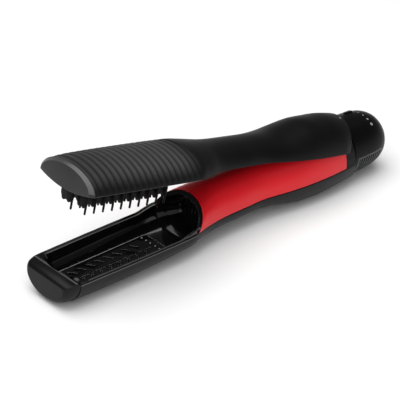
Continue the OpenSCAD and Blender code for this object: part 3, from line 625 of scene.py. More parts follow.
def slat_tree():
    """Sets arched slats along the dial, each shrunk to the dial's outline at its place."""
    tree, start, end = new_tree(
        "Grille slats",
        [
            ("Slats", "Int", 9), ("Spacing", "Float", 2.5), ("First", "Float", 6.7),
            ("Dial length", "Float", DIAL_L),
        ],
    )
    given, maths = start.outputs, sums(tree)
    share = maths("POWER", maths("DIVIDE", place_x(tree), given["Dial length"]), DIAL_TAPER)
    size = maths("POWER", maths("SUBTRACT", 1.0, share), 1 / DIAL_ROUND)
    step, first = (vector(tree, X=given[label]) for label in ("Spacing", "First"))
    line = row_of_points(tree, given["Slats"], step, first)
    row = copies(tree, line, given["Geometry"], vector(tree, X=1.0, Y=size, Z=size))
    return painted(tree, row, start, end)


def screw_tree():
    """Sets a cross-recess screw, head down, on every incoming point."""
    inputs = [(label, "Float", size) for label, size in SCREW.items()]
    tree, start, end = new_tree("Cross-recess screws", inputs)
    given, maths = start.outputs, sums(tree)

    def cone(low, high, depth):
        inputs = {"Vertices": 32, "Radius Bottom": low, "Radius Top": high, "Depth": depth}
        return added(tree, "GeometryNodeMeshCone", inputs).outputs["Mesh"]

    head = cone(maths("MULTIPLY", given["Head"], 0.86), given["Head"], 0.8)
    recess = added(
        tree, "GeometryNodeMeshBoolean", {"Mesh 1": head}, operation="DIFFERENCE", solver="EXACT"
    )
    for size in ((3.0, 0.6, 1.0), (0.6, 3.0, 1.0)):
        bar = added(tree, "GeometryNodeMeshCube", {"Size": size})
        tree.links.new(bar.outputs["Mesh"], recess.inputs["Mesh 2"])
    whole = added(tree, "GeometryNodeJoinGeometry")
    for part in (recess.outputs["Mesh"], cone(given["Shank"], given["Shank"], given["Length"])):
        tree.links.new(part, whole.inputs["Geometry"])
    screws = copies(tree, given["Geometry"], whole.outputs["Geometry"])
    return painted(tree, screws, start, end)


def row_tree():
    """Repeats the incoming mesh in an even row."""
    tree, start, end = new_tree("Even row", [("Count", "Int", 2), ("Step", "Vector", (1, 0, 0))])
    line = row_of_points(tree, start.outputs["Count"], start.outputs["Step"])
    return painted(tree, copies(tree, line, start.outputs["Geometry"]), start, end)


# Finishes


def shader(name):
    material = bpy.data.materials.new(name)
    material.use_nodes = True
    return material


def surfaced(material, values):
    """Feeds the inputs of a material's surface."""
    tree = material.node_tree
    for label, value in values.items():
        feed(tree, value, tree.nodes["Principled BSDF"].inputs[label])
    return material


def object_noise(tree, scale, detail, stretch=(1, 1, 1)):
    """Noise over the object's own coordinates."""
    place = added(tree, "ShaderNodeTexCoord").outputs["Object"]
    turn = added(tree, "ShaderNodeMapping", {"Vector": place, "Scale": stretch})
    inputs = {"Vector": turn.outputs["Vector"], "Scale": scale, "Detail": detail}
    return added(tree, "ShaderNodeTexNoise", inputs).outputs["Fac"]


def ranged(tree, source, low, high, to_low, to_high):
    """Maps a factor from one range onto another."""
    inputs = {
        "Value": source, "From Min": low, "From Max": high, "To Min": to_low, "To Max": to_high,
    }
    return added(tree, "ShaderNodeMapRange", inputs).outputs["Result"]


def mixed(tree, factor, a, b):
    """A mix of two colours."""
    inputs = {"Factor": factor, "A": a, "B": b}
    return added(tree, "ShaderNodeMix", inputs, data_type="RGBA").outputs["Result"]


def tinted(tree, factor, tint, dark, light):
    """A colour that wanders from darker to lighter by a factor."""
    darker = (*(c * dark for c in tint), 1)
    lighter = (*(min(c * light, 1.0) for c in tint), 1)
    return mixed(tree, factor, darker, lighter)


def bumped(tree, height, strength, depth):
    """A fine relief from a height."""
    inputs = {"Height": height, "Strength": strength, "Distance": depth}
    return added(tree, "ShaderNodeBump", inputs).outputs["Normal"]


def moulded(name, tint, rough, spread=0.06, grain=2600.0, specular=0.5):
    """Moulded plastic: a fine grain, handled patches that shine a little more, uneven tint."""
    material = shader(name)
    tree = material.node_tree
    patches = object_noise(tree, 34.0, 4.0)
    uneven = ranged(tree, patches, 0.35, 0.65, 0, 1)
    values = {
        "Roughness": ranged(tree, patches, 0.3, 0.7, rough - spread, rough + spread),
        "Base Color": tinted(tree, uneven, tint, 0.82, 1.14),
        "Normal": bumped(tree, object_noise(tree, grain, 2.0), 0.25, 0.00002),
        "Specular IOR Level": specular,
    }
    return surfaced(material, values)


def grip_with_painted_light(name, tint, rough):
    """Soft touch plastic that hands have worn lighter on the crown of its ribs."""
    material = moulded(name, tint, rough, 0.05, 3200.0, specular=0.1)
    tree = material.node_tree
    crown = added(tree, "ShaderNodeAttribute", attribute_name="crown").outputs["Fac"]
    plain = tree.nodes["Principled BSDF"].inputs["Base Color"].links[0].from_socket
    grey = tuple(bpy.context.scene.brush_finishes.rib_painted_light)
    painted_light = tinted(tree, object_noise(tree, 60.0, 4.0), grey, 0.8, 1.0)
    return surfaced(material, {"Base Color": mixed(tree, crown, plain, painted_light)})


def polished(name, tint, rough, specular=0.5):
    """Polished plastic: faint ripples from the mould and hairline wear."""
    material = shader(name)
    tree = material.node_tree
    wear = object_noise(tree, 900.0, 4.0, (1, 0.12, 1))
    values = {
        "Roughness": ranged(tree, wear, 0.45, 0.75, rough, rough + 0.09),
        "Base Color": tinted(tree, wear, tint, 0.97, 1.03),
        "Normal": bumped(tree, object_noise(tree, 260.0, 1.0), 0.08, 0.00004),
        "Specular IOR Level": specular,
    }
    return surfaced(material, values)


def metal(name, tint, rough, stretch=(1, 1, 1)):
    """Bare metal with a drawn or rolled grain."""
    material = shader(name)
    tree = material.node_tree
    grain = object_noise(tree, 1500.0, 3.0, stretch)
    values = {
        "Metallic": 1.0,
        "Roughness": ranged(tree, grain, 0.3, 0.7, rough - 0.08, rough + 0.12),
        "Base Color": tinted(tree, grain, tint, 0.85, 1.0),
        "Normal": bumped(tree, grain, 0.2, 0.00002),
    }
    return surfaced(material, values)


# Kind, name, tint or the setting that holds it, roughness, and what else the kind takes
RECIPES = {
    "gloss_black": (polished, "Gloss black plastic", "gloss_black", 0.07, {}),
    "mouth_black": (polished, "Mouth gloss black", "gloss_black", 0.1, {"specular": 0.26}),
    # Gloss black of the dish, also painted shade on the upward faces of the channel's cap
    "band_black": (polished, "Cap band black", "gloss_black", 0.3, {"specular": 0.16}),
    "red": (polished, "Red satin gloss", "cover_red", 0.3, {"specular": 0.3}),
    "cap_grey": (
        moulded, "Cap grey satin", "cap_grey", 0.4, {"grain": 2200.0, "specular": 0.14},
    ),
    "paddle_grey": (
        moulded, "Paddle cap grey", "paddle_grey", 0.4, {"grain": 2200.0, "specular": 0.2},
    ),
    # Painted highlight on the chamfers of the paddle's cap
    "rubbed_cap": (moulded, "Rubbed cap edge", (0.055, 0.055, 0.056), 0.34, {}),
    # Painted highlight: a light grey on thin rim edges, the lug, the cap's ridge and the paddle's
    # lower edge
    "painted_edge_highlight": (moulded, "Rubbed edges", (0.085, 0.085, 0.087), 0.3, {}),
    # Painted highlight on the floor panel's rounded slot edges and studs
    "slot_edge": (moulded, "Worn slot edges", (0.5, 0.5, 0.505), 0.3, {}),
    "satin_black": (moulded, "Satin black plastic", "satin_black", 0.38, {"specular": 0.2}),
    "dial_black": (
        moulded, "Dial satin black", "dial_black", 0.36, {"spread": 0.05, "specular": 0.08},
    ),
    "vent_grey": (moulded, "Vent grey", "vent_grey", 0.4, {"specular": 0.3}),
    # Grey of the dust screen, also painted shade on the sides of the grille's slats
    "screen_grey": (
        moulded, "Screen grey", (0.006, 0.006, 0.0065), 0.6, {"specular": 0.1},
    ),
    "mark_white": (moulded, "Printed marks", (0.5, 0.5, 0.5), 0.5, {}),
    "soft_black": (grip_with_painted_light, "Soft touch black", "soft_black", 0.46, {}),
    "brush_black": (
        moulded, "Brush nylon", "brush_black", 0.35, {"grain": 1800.0, "specular": 0.08},
    ),
    "inner_nylon": (moulded, "Inner nylon", (0.02, 0.02, 0.021), 0.5, {}),
    "bush_rubber": (moulded, "Bush rubber", (0.012, 0.012, 0.012), 0.6, {}),
    "mica": (moulded, "Mica sheet", (0.62, 0.52, 0.34), 0.45, {"grain": 900.0}),
    "fuse_white": (moulded, "Fuse ceramic", (0.7, 0.68, 0.62), 0.3, {}),
    "board_green": (moulded, "Board green", (0.015, 0.12, 0.045), 0.35, {}),
    "parts_dark": (moulded, "Component dark", (0.02, 0.02, 0.035), 0.4, {}),
    "fan_grey": (moulded, "Fan grey", (0.09, 0.095, 0.1), 0.4, {}),
    "steel": (metal, "Screw steel", (0.62, 0.63, 0.65), 0.3, {}),
    "bracket_zinc": (metal, "Zinc plated steel", (0.55, 0.56, 0.58), 0.38, {}),
    "heater_wire": (metal, "Heater wire", (0.5, 0.45, 0.4), 0.42, {}),
    "motor_can": (metal, "Motor can", (0.5, 0.51, 0.53), 0.3, {"stretch": (1, 20, 20)}),
    "sensor_metal": (metal, "Sensor can", (0.6, 0.6, 0.62), 0.28, {}),
}
finishes = {}


def finish(name):
    """The material of that name, made on first use."""
    if name not in finishes:
        make, label, tint, rough, more = RECIPES[name]
        if isinstance(tint, str):
            tint = tuple(getattr(bpy.context.scene.brush_finishes, tint))
        finishes[name] = make(label, tint, rough, **more)
    return finishes[name]


# Channel


def channel_point(x, y, z):
    """Leans a section point of the channel forward at the tip and back at the mouth."""
    back = MOUTH_LEAN * ease((x - CHANNEL_L + 16) / 15)
    return (x + tip_lean(x) * (z - RIM_Z) + back * max(z - SPLIT_Z, 0), y, z)


def tip_cuts():
    """The dished end of the trough and the notch at its near corner."""
    (x0, y0, z0), (rx, ry, rz) = DISH
    rings = []
    for i in range(25):
        a = math.pi * (0.004 + 0.992 * i / 24)
        r, z = math.sin(a), z0 - rz * math.cos(a)
        rings.append(
            [(x0 + rx * r * math.cos(b), y0 + ry * r * math.sin(b), z) for b in turns(96)]
        )
    return [loft("dish", rings), box_object("notch", *NOTCH)]


def on_dish(*point):
    """Whether a point lies on the dished surface."""
    return abs(sum(((v - m) / r) ** 2 for v, m, r in zip(point, *DISH)) - 1) < 0.07


def channel_ring(x, inset):
    """Line round the channel's wall, with a stepped rim on both sides and a satin skirt."""
    w, top, low = curve(BODY_HALF, x), rim_at(x), max(under(x), 0)
    strip = [
        (w - 0.35, top - 0.75), (w - 1.15, top - 0.85), (w - 1.15, SKIRT_Z + 0.2),
        (w - 0.35, SKIRT_Z + 0.15), (w - 0.1, SKIRT_Z), (w, SKIRT_Z - 0.3),
    ]
    skirt = bowl(w - inset, SKIRT_Z - 0.4, under(x) + inset, 2.05 + 0.25 * ease(x / 45))
    outer = [(y - inset, z) for y, z in strip] + skirt + [(inset - y, z) for y, z in strip[::-1]]
    inner = bowl(w - CHANNEL_WALL + inset, top - 2.1, low + CHANNEL_WALL - inset, 2.4)
    deepest = CHANNEL_WALL - inset
    rim = [(w - min(max(t + 0.3, inset), deepest), top + dz - inset) for t, dz in RIM_STEP]
    return [channel_point(x, y, z) for y, z in wall_line(outer, rim, inner)]


def end_wall_row(a):
    """Line over the end wall at one angle: out along its front, back along its hollow rear."""
    w, low, top, e = 21.25, 2.5, 19.7, 2 / 2.4
    line = []
    for front in (True, False):
        for i in range(25) if front else range(24, -1, -1):
            s = i / 24
            y, z = w * s * spow(math.cos(a), e), top - (top - low) * s * math.sin(a) ** e
            x = 2.85 if front else 5.0 + 8.0 * s**7
            line.append((x + tip_lean(x) * (z - RIM_Z), y, z))
    return line


def channel_finish(face, x, y, z):
    """0 for gloss, 1 for the satin skirt, 2 for the rubbed lug and edges."""
    outside = face.normal.y * y + face.normal.z * (z - RIM_Z) > 0
    drop, inward = rim_at(x) - z, curve(BODY_HALF, x) - abs(y)
    # The lug gets a painted highlight
    if z > 18 and all(a - 0.1 < v < b + 0.1 for v, a, b in zip((x, y), *LUG)):
        return 2
    # The skirt's top edge gets a painted highlight line, the rest of the skirt is satin
    if outside and z < SKIRT_Z + 0.12 and inward < 9:
        return 2 if SKIRT_Z - 0.25 < z and inward < 0.3 else 1
    if outside and z < SKIRT_Z:
        return 1
    # Painted highlight lines on the rim's inner step and on its lip
    inner_step = 2.3 < inward < 2.95 and 0.9 < drop < 1.6
    lip = inward < 0.95 and drop < 0.3
    return 2 if x > 8 and (inner_step or lip) else 0


def build_channel():
    xs = steps(3.0, 84, 3.0) + steps(84.5, CHANNEL_L - GAP, 0.9)
    rings = [channel_ring(x, e) for x, e in eased_ends(xs, 0.25)]
    channel = wall_loft("channel_body", rings, 61 + len(RIM_STEP) // 2)
    end_wall = loft("end_wall", [end_wall_row(math.pi * i / 60) for i in range(61)])
    combine(end_wall, tip_cuts(), "DIFFERENCE")
    round_edges(end_wall, 0.4, 3)
    lug = round_edges(box_object("lug", *LUG), 0.35)
    join(channel, end_wall, lug)
    settle(channel, "handle", ["channel"], "gloss_black")
    refinish(channel, ("satin_black", "painted_edge_highlight"), channel_finish)


def build_floor_panel():
    """The slotted panel with rounded slots, and a row of studs at its rear edge."""
    panel = cad_copy("floor_panel", "slotted_floor")
    bm = bmesh.new()
    bm.from_mesh(panel.data)
    bmesh.ops.dissolve_limit(bm, angle_limit=0.02, verts=bm.verts, edges=bm.edges)
    bm.to_mesh(panel.data)
    bm.free()
    round_edges(panel, 0.28)
    stud = [(0.55, 7.2), (0.55, 7.55), (0.45, 7.75), (0.25, 7.85), (0.05, 7.88)]
    studs = [
        loft("stud", [[(*p, z) for p in circle(81.6, y, r, 12)] for r, z in stud])
        for y in (-11.4, -7.0, -2.6, 2.6, 7.0, 11.4)
    ]
    plain = len(panel.data.polygons)
    join(panel, *studs)
    settle(panel, "handle", ["floor_panel"], "gloss_black")
    # Rounded edges and studs get a painted highlight, a light grey
    refinish(
        panel,
        ["slot_edge"],
        lambda face, *_: int(face.index >= plain or 0.15 < face.normal.z < 0.97),
    )


def cap_ring(x, t):
    """Section of the cushion-shaped end cap, drawn in by a distance t."""
    w, top, r = curve(BODY_HALF, 0) - t, RIM_Z - 0.5 * t, 0.9 + 0.35 * t
    line = bowl(w, top - r, 0.87 * t, 2.05)
    arc = [(r - r * math.cos(a), top - r + r * math.sin(a)) for a in (0.5, 1.0, math.pi / 2)]
    line += [(y - w, z) for y, z in arc] + [(w - y, z) for y, z in arc[::-1]]
    return [(x + TIP_LEAN * (z - RIM_Z), y, z) for y, z in line]


def cap_finish(face, x, y, z):
    """0 for the grey face, 1 for the black top and dish, 2 for the rubbed ridge."""
    if on_dish(x, y, z) and z > 19.4 and face.normal.z > 0.5:
        return 2
    # Upward faces get painted shade in black, the dish its gloss black
    return int(face.normal.z > 0.42 and z > 14 or face.normal.x > 0.3)


def build_channel_cap():
    # The cap swells from its end against the channel to its front, as a squared quarter round
    front, back, end, r, e = -7.6, 6.4, 2.65, 6.0, 2 / 2.4
    stop = math.acos(((back - end) / (back - front)) ** (1 / e))
    turn = [stop * (i / 20) ** 1.4 for i in range(21)]
    rows = [(back - (back - front) * math.cos(a) ** e, r * (1 - math.sin(a) ** e)) for a in turn]
    cap = loft("channel_tip_cap", [cap_ring(x, t) for x, t in rows])
    combine(cap, tip_cuts(), "DIFFERENCE")
    round_edges(cap, 0.4, 3)
    settle(cap, "handle", ["channel_end_cap"], "cap_grey", angle=50)
    refinish(cap, ("band_black", "painted_edge_highlight"), cap_finish)


# Mouth and covers


def mouth_wall(d):
    """Thickness of the mouth's wall at a depth behind its lip."""
    return min(1.4, 0.5 + 0.2 * d)


def mouth_oval(d, t, depth):
    """Section at a depth behind the lip, at a distance t outside the inner surface."""
    x = CHANNEL_L + 0.4 + d
    inset = SHELL_WALL + GAP + 0.05 + mouth_wall(d)
    close = (1 - (d / (depth + 3)) ** 4) ** 0.5
    wide = (curve(BODY_HALF, x) - inset - 0.9) * close
    up = (SPLIT_Z + curve(COVER_RISE, x) - inset - RIM_Z) * close
    down = (RIM_Z - under(x) - inset - 0.8) * close
    lean = curve(COVER_LEAN, x)
    ring = []
    for a in turns(120):
        c, v = math.cos(a), math.sin(a)
        if v >= 0:
            y, z = (wide + t) * c, RIM_Z + (up + t) * v
        else:
            y, z = (wide + t) * spow(c, 0.85), RIM_Z - (down + t) * abs(v) ** 0.85
        ring.append((x + lean * max(z - SPLIT_Z, 0), y, z))
    return ring


def cover_ring(x, inset, wall=SHELL_WALL, sunk=0.0):
    """Line round the cover's wall, from its skin, or sunk below it, to the depth of the wall."""
    lean, w, top = curve(COVER_LEAN, x), curve(BODY_HALF, x), cover_top(x)
    low = SPLIT_Z + GAP / 2 + 0.45
    outer = hood(w - sunk - inset, low, top - sunk - inset)
    inner = hood(w - wall + inset, low, top - wall + inset)
    foot = edge_round(w - (wall + sunk) / 2, (wall - sunk) / 2 - inset, low, -0.45, (0.5, 1.0))
    return [(x + lean * (z - SPLIT_Z), y, z) for y, z in wall_line(outer, foot, inner)]


def build_mouth():
    depth = 17.0
    outside = [mouth_oval(d, mouth_wall(d), depth) for d in steps(depth, 0.25, 1.0)]
    lip = [mouth_oval(d, t, depth) for d, t in ((0.04, 0.36), (-0.1, 0.22), (-0.04, 0.05))]
    inside = [mouth_oval(d, 0.0, depth) for d in steps(0.2, depth - 1.4, 0.9)]
    mouth = loft("hot_air_mouth", outside + lip + inside)
    x = CHANNEL_L + 0.4
    slots = [
        box_object("slot", (x + depth * 0.7, y - 0.7, RIM_Z - 2), (x + 40, y + 0.7, RIM_Z + 7))
        for y in (-6.4, -3.2, 0, 3.2, 6.4)
    ]
    combine(mouth, slots, "DIFFERENCE")
    # Thin flange in front of the duct cover's lip, stepped back inside it
    step = CHANNEL_L + 0.6
    rows = eased_ends([CHANNEL_L + 0.2, step - 0.01, step + 0.01, CHANNEL_L + 1.15], 0.2)
    rings = [cover_ring(x, e, 2.6, 0.12 if x < step else 1.1) for x, e in rows]
    join(mouth, wall_loft("flange", rings, 67))
    settle(mouth, "handle", ["mouth_liner"], "gloss_black", "mouth_black")


def build_cover():
    # The front edge is a thin lip round the mouth's flange
    lip = [CHANNEL_L + 0.65, CHANNEL_L + 1.05, CHANNEL_L + 1.3, CHANNEL_L + 1.36]
    xs = lip + steps(CHANNEL_L + 2.2, 140, 1.5) + steps(143, COLLAR_X - GAP, 3.0)
    rings = [
        cover_ring(x, e, 0.95 if x < lip[3] else SHELL_WALL) for x, e in eased_ends(xs, 0.35)
    ]
    cover = wall_loft("red_duct_cover", rings, 67)
    # The rear is open over the hinge
    combine(cover, [box_object("notch", (227.5, -16.2, 34), (262, 16.2, 90))], "DIFFERENCE")
    settle(cover, "handle", ["duct_cover"], "red")


def shell_ring(x, inset):
    """Line round the lower shell's wall, which stands a little inside the channel's skirt."""
    step = 0.7 * (1 - ease((x - CHANNEL_L) / 40))
    w, low = curve(BODY_HALF, x) - step, max(under(x), 0) + step
    top = SPLIT_Z - GAP / 2 - 0.45
    outer = bowl(w - inset, top, under(x) + step + inset)
    inner = bowl(w - SHELL_WALL + inset, top, low + SHELL_WALL - inset)
    rim = edge_round(w - SHELL_WALL / 2, SHELL_WALL / 2 - inset, top, 0.45, (0.5, 1.0))
    return [(x, y, z) for y, z in wall_line(outer, rim, inner)]


def build_lower_shell():
    xs = steps(CHANNEL_L + GAP, SEAM_X - 0.6, 3.0)
    shell = wall_loft("lower_shell_body", [shell_ring(x, e) for x, e in eased_ends(xs, 0.3)], 51)
    # Each screw has a narrow hole with a wider sink
    holes = [
        prism("hole", circle(x, y, r, 32), -1, high)
        for x, y in HOUSING_SPOTS
        for r, high in ((1.5, 13), (2.9, under_at(x, y) + 1))
    ]
    combine(shell, holes, "DIFFERENCE")
    settle(shell, "handle", ["lower_shell"], "satin_black")


def build_spring():
    """The opening spring, which shortens as the brush closes."""
    coil = cad_copy("opening_spring", "opening_coil")
    settle(coil, "handle", ["opening_spring"], "steel")
    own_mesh(coil)


# Arm


def arm_ring(x, inset):
    """Line round the arm's wall, which arches forward at the rear seam."""
    w, low, top = curve(ARM_HALF, x), arm_foot(x), curve(ARM_TOP, x)
    recede = 5.5 * ease((x - (SEAM_X - 14)) / 12)
    outer = hood(w - inset, low, top - inset)
    inner = hood(w - ARM_WALL + inset, low, top - ARM_WALL + inset)
    foot = edge_round(w - ARM_WALL / 2, ARM_WALL / 2 - inset, low, -0.8, (0.4, 0.8, 1.2))
    return [(x - recede * (y / w) ** 2, y, z) for y, z in wall_line(outer, foot, inner)]


def mark_ribs(arm, ribs_end, pitch):
    """Marks the arm's outside, less towards its lower edges, and the worn crown of its ribs."""
    for label in ("outer", "crown"):
        arm.data.attributes.new(label, "FLOAT", "POINT")
    outer, crown = arm.data.attributes["outer"].data, arm.data.attributes["crown"].data
    for i, vertex in enumerate(arm.data.vertices):
        x, y, z = vertex.co
        low = arm_foot(x)
        high = (z - low) / (curve(ARM_TOP, x) - low)
        skin = math.hypot(y / curve(ARM_HALF, x), high) > 0.985
        outer[i].value = min(1, 2.2 * high) if skin and high > 0 else 0.0
        # Painted light: lighter high on the arm, darker in the grooves, dimmer towards the tip,
        # fading out past the ribs
        groove = 0.5 - 0.5 * math.cos(2 * math.pi * (x - RIBS_X) / pitch)
        along = (0.6 + 0.4 * ease((x - 8) / 40)) * (1 - ease((x - ribs_end + 16) / 20))
        crown[i].value = ease((high - 0.12) / 0.62) * (1 - 0.7 * groove) * along


def build_arm():
    sizes = bpy.context.scene.brush_sizes
    pitch = sizes.rib_pitch / MM
    ribs_end = RIBS_X + sizes.rib_count * pitch
    xs = [7.8] + steps(RIBS_X, ribs_end, pitch / 10) + steps(ribs_end + 1.5, SEAM_X - 2, 2.0)
    rings = [arm_ring(x, e) for x, e in eased_ends(xs, 0.3)]
    arm = wall_loft("ribbed_arm_shell", rings, 68)
    mark_ribs(arm, ribs_end, pitch)
    values = {
        "Grooves": sizes.rib_count, "Spacing": pitch, "Depth": sizes.rib_depth / MM,
        "First": RIBS_X, "Material": finish("soft_black"),
    }
    run_tree(arm, rib_tree(), values)
    arm.data.attributes.remove(arm.data.attributes["outer"])
    settle(arm, "arm", ["arm_shell"], "soft_black", place=OPENED)

    def painted_edge_line(face, x, y, z):
        """Whether a face lies on the paddle's lower edge."""
        on_edge = 0 < z - arm_edge(x) < 0.5 and abs(y) > curve(ARM_HALF, x) - 0.9
        return int(x < ribs_end and on_edge)

    refinish(arm, ["painted_edge_highlight"], painted_edge_line, OPENED)


def lens(x, s):
    """Outline of the paddle's end: arched above, and bellied below like the brush base."""
    w, low = curve(ARM_HALF, x) * s, arm_edge(x)
    line = hood(w, low, low + (curve(ARM_TOP, x) - low) * s)
    for i in range(1, 40):
        u = -1 + 2 * i / 40
        line.append((w * u, low - BASE_CROWN * s * (1 - u * u)))
    return line


def build_paddle_cap():
    x1 = 7.6
    # Places and sizes of the outline over the face, the chamfer and the edge
    rows = [
        (4.6, 0.885), (4.63, 0.893), (4.75, 0.9), (6.85, 0.988), (7.0, 0.994), (7.2, 0.998),
        (7.35, 1.0), (x1, 1.0),
    ]
    cap = loft("paddle_tip_cap", [[(x, y, z) for y, z in lens(x1, s)] for x, s in rows])
    settle(cap, "arm", ["paddle_end_cap"], "cap_grey", "paddle_grey", OPENED)
    # The chamfers that face up and down get a painted highlight, a lighter grey
    refinish(
        cap,
        ["rubbed_cap"],
        lambda face, *_: int(abs(face.normal.z) > 0.35 and face.normal.x < -0.2),
    )


# Combs


def fin_outline(w):
    """A fin seen along the brush: two rounded lobes under a straight root."""
    tip, root = 12.6, 26.2
    line = [(0.3, tip + 3)]
    for share, r in ((0.3, 1.6), (0.72, 1.8)):
        for a in map(math.radians, range(200, 341, 14)):
            line.append((w * share + r * math.cos(a), tip + r + r * math.sin(a)))
    return line + [(w - 0.3, tip + 4.4), (w - 0.3, root), (0.3, root)]


def build_comb(name, node, x0, y0, w, tree):
    """A comb of fins, each with a long pin with a ball tip, under a bar along the brush base."""
    sizes = bpy.context.scene.brush_sizes
    fin = round_edges(prism("fin", fin_outline(w), x0 - 0.9, x0 + 0.9, "X"), 0.3)
    rows = [(0.05, 8.6), (0.36, 8.68), (0.6, 8.9), (0.7, 9.3), (0.78, 15.0), (1.0, 26.0)]
    pin = loft("pin", [[(*p, z) for p in circle(x0, 0.9, r, 16)] for r, z in rows])
    join(fin, pin)
    values = {
        "Count": sizes.fin_count, "Step": (sizes.fin_pitch / MM, 0, 0),
        "Material": finish("brush_black"),
    }
    run_tree(fin, tree, values)
    ends = [(x, arm_edge(x) - BASE_CROWN - 0.05) for x in (10.9, 86.5)]
    outline = ends + [(x, z + 1.9) for x, z in ends[::-1]]
    join(fin, round_edges(prism("bar", outline, 0, w, "Y"), 0.25))
    fin.data.transform(Matrix.Translation((0, y0, 0)))
    fin.name = name
    settle(fin, "arm", [node], "brush_black", place=OPENED)


def build_combs():
    tree = row_tree()
    build_comb("far_comb_fins", "comb_far", 13.5, -1.2, 12.2, tree)
    build_comb("near_comb_fins", "comb_near", 16.6, -11.4, 9.8, tree)


# Dial


def flank_boxes(name, x0, x1, inset):
    """Boxes through both flanks of the dial, as high as its windows less an inset."""
    low, high = WINDOW_Z
    return [
        box_object(
            name,
            (SEAM_X + x0, min(s * 13, s * 30), low + inset),
            (SEAM_X + x1, max(s * 13, s * 30), high - inset),
        )
        for s in (-1, 1)
    ]


def build_dial():
    """The dial: a shell with a domed tail, an inner ring on the spigot and a thumb ridge."""
    wall, bore, end = 2.0, 15.08, 0.975
    shares = steps(0.02, 0.8, 0.04) + steps(0.82, 0.95, 0.01) + [0.958, 0.965, 0.97, end]
    outer = [(0.0, DIAL_R - 0.5), (0.08, DIAL_R - 0.2), (0.3, DIAL_R)]
    outer += [(DIAL_L * t, dial_r(t)) for t in shares]
    back = DIAL_L * end
    tail = [(0, 8.0), (-0.1, 7.5), (-0.4, 6.9), (-0.9, 6.08), (-3, 6.08)]
    tail = [(back + x, r) for x, r in tail]
    shares = [0.972, 0.95, 0.92, 0.88, 0.82, 0.75, 0.65, 0.5, 0.35, 0.2]
    inner = [((DIAL_L - 3.2) * t, dial_r(t, DIAL_R - wall)) for t in shares]
    inner += [(3.6, DIAL_R - wall), (3.6, bore), (0.0, bore)]
    dial = spin_x("control_dial", outer + tail + inner)
    ridge = round_edges(box_object("ridge", (-3.4, -1.9, -2.4), (3.4, 1.9, 0.8)), 0.6, 3)
    ridge.data.transform(
        Matrix.Translation((SEAM_X + 18.25, 0, AXIS_Z))
        @ Matrix.Rotation(math.radians(-14), 4, "X")
        @ Matrix.Translation((0, 0, DIAL_R))
    )
    combine(dial, [ridge], "UNION")
    combine(dial, flank_boxes("window", 3, 30, 0), "DIFFERENCE")
    settle(dial, "dial", ["dial_cap"], "satin_black", "dial_black")


def arched_slat(r0, side):
    """A slat that arches round one flank of the dial, with chamfered outer edges."""
    section = [
        (-0.62, -1.5), (0.62, -1.5), (0.62, -0.35), (0.4, -0.12), (-0.4, -0.12), (-0.62, -0.35),
    ]
    rings = []
    for i in range(15):
        a = math.radians(-48 + 46 * i / 14)
        rings.append(
            [(x, side * (r0 + r) * math.cos(a), (r0 + r) * math.sin(a)) for x, r in section]
        )
    return loft("slat", rings)


def build_grilles():
    """Two grilles in the dial's windows: a frame that follows its outline and curved slats."""
    sizes = bpy.context.scene.brush_sizes
    r0 = DIAL_R - 0.1
    rows = [(x, dial_r(x / DIAL_L, r0)) for x in steps(2.5, 31, 1.5)]
    ring = spin_x("intake_grille_pair", rows + [(x, r - 1.6) for x, r in rows[::-1]])
    combine(ring, [join(*flank_boxes("outline", 3.1, 29.9, 0.1))], "INTERSECT")
    combine(ring, [join(*flank_boxes("field", 4.8, 28.6, 1.5))], "DIFFERENCE")
    slats = join(arched_slat(r0, -1), arched_slat(r0, 1))
    values = {
        "Slats": sizes.slat_count, "Spacing": sizes.slat_pitch / MM, "First": 6.68,
        "Dial length": DIAL_L, "Material": finish("vent_grey"),
    }
    run_tree(slats, slat_tree(), values)
    slats.data.transform(Matrix.Translation((SEAM_X, 0, AXIS_Z)))
    combine(slats, [join(*flank_boxes("limit", 0, DIAL_L, 1.2))], "INTERSECT")
    join(ring, slats)
    settle(ring, "dial", ["intake_grilles"], "vent_grey")

    def gets_painted_slat_shade(face, _, y, z):
        """Whether a face is the side of a slat, and not one that looks outwards."""
        z -= AXIS_Z
        return int(face.normal.y * y + face.normal.z * z < 0.6 * math.hypot(y, z))

    refinish(ring, ["screen_grey"], gets_painted_slat_shade)


def build_dial_marks():
    """Printed setting marks: a ring, one to three strokes and a dot, on the dial's skin."""
    marks = []

    def on_dial(along, round_it, turn):
        """Point on the dial's skin, from offsets along it and round it."""
        x = 24.5 + along
        r = dial_r(x / DIAL_L) + 0.02
        a = math.radians(turn) + round_it / r
        return (SEAM_X + x, -r * math.sin(a), AXIS_Z + r * math.cos(a))

    def mark(outline, turn, faces=None):
        points = [on_dial(u, v, turn) for u, v in outline]
        marks.append(mesh_object("mark", points, faces or [tuple(range(len(outline)))]))

    band = circle(0, 0, 1.1, 24) + circle(0, 0, 0.6, 24)
    mark(band, 37, [(i, (i + 1) % 24, 24 + (i + 1) % 24, 24 + i) for i in range(24)])
    for turn, offsets in ((24, (-0.4, 0.4)), (-2, (0,)), (-16, (-0.8, 0, 0.8))):
        for v in offsets:
            mark([(-0.85, v - 0.2), (0.85, v - 0.2), (0.85, v + 0.2), (-0.85, v + 0.2)], turn)
    mark(circle(0, 0, 0.5, 24), 11)
    settle(join(*marks), "dial", [], look="mark_white")


def build_index_dot():
    """Printed dot at the arm's rear edge that the dial's marks turn past."""
    points = []
    for dx, dy in circle(0, 0, 0.7, 20):
        x, t = 251.5 + dx, math.radians(12) + dy / 24
        low = arm_foot(x)
        z = low + (curve(ARM_TOP, x) - low) * math.cos(t) + 0.02
        points.append((x, -curve(ARM_HALF, x) * math.sin(t), z))
    dot = mesh_object("index_dot", points, [tuple(range(20))])
    settle(dot, "arm", [], look="mark_white", place=OPENED)


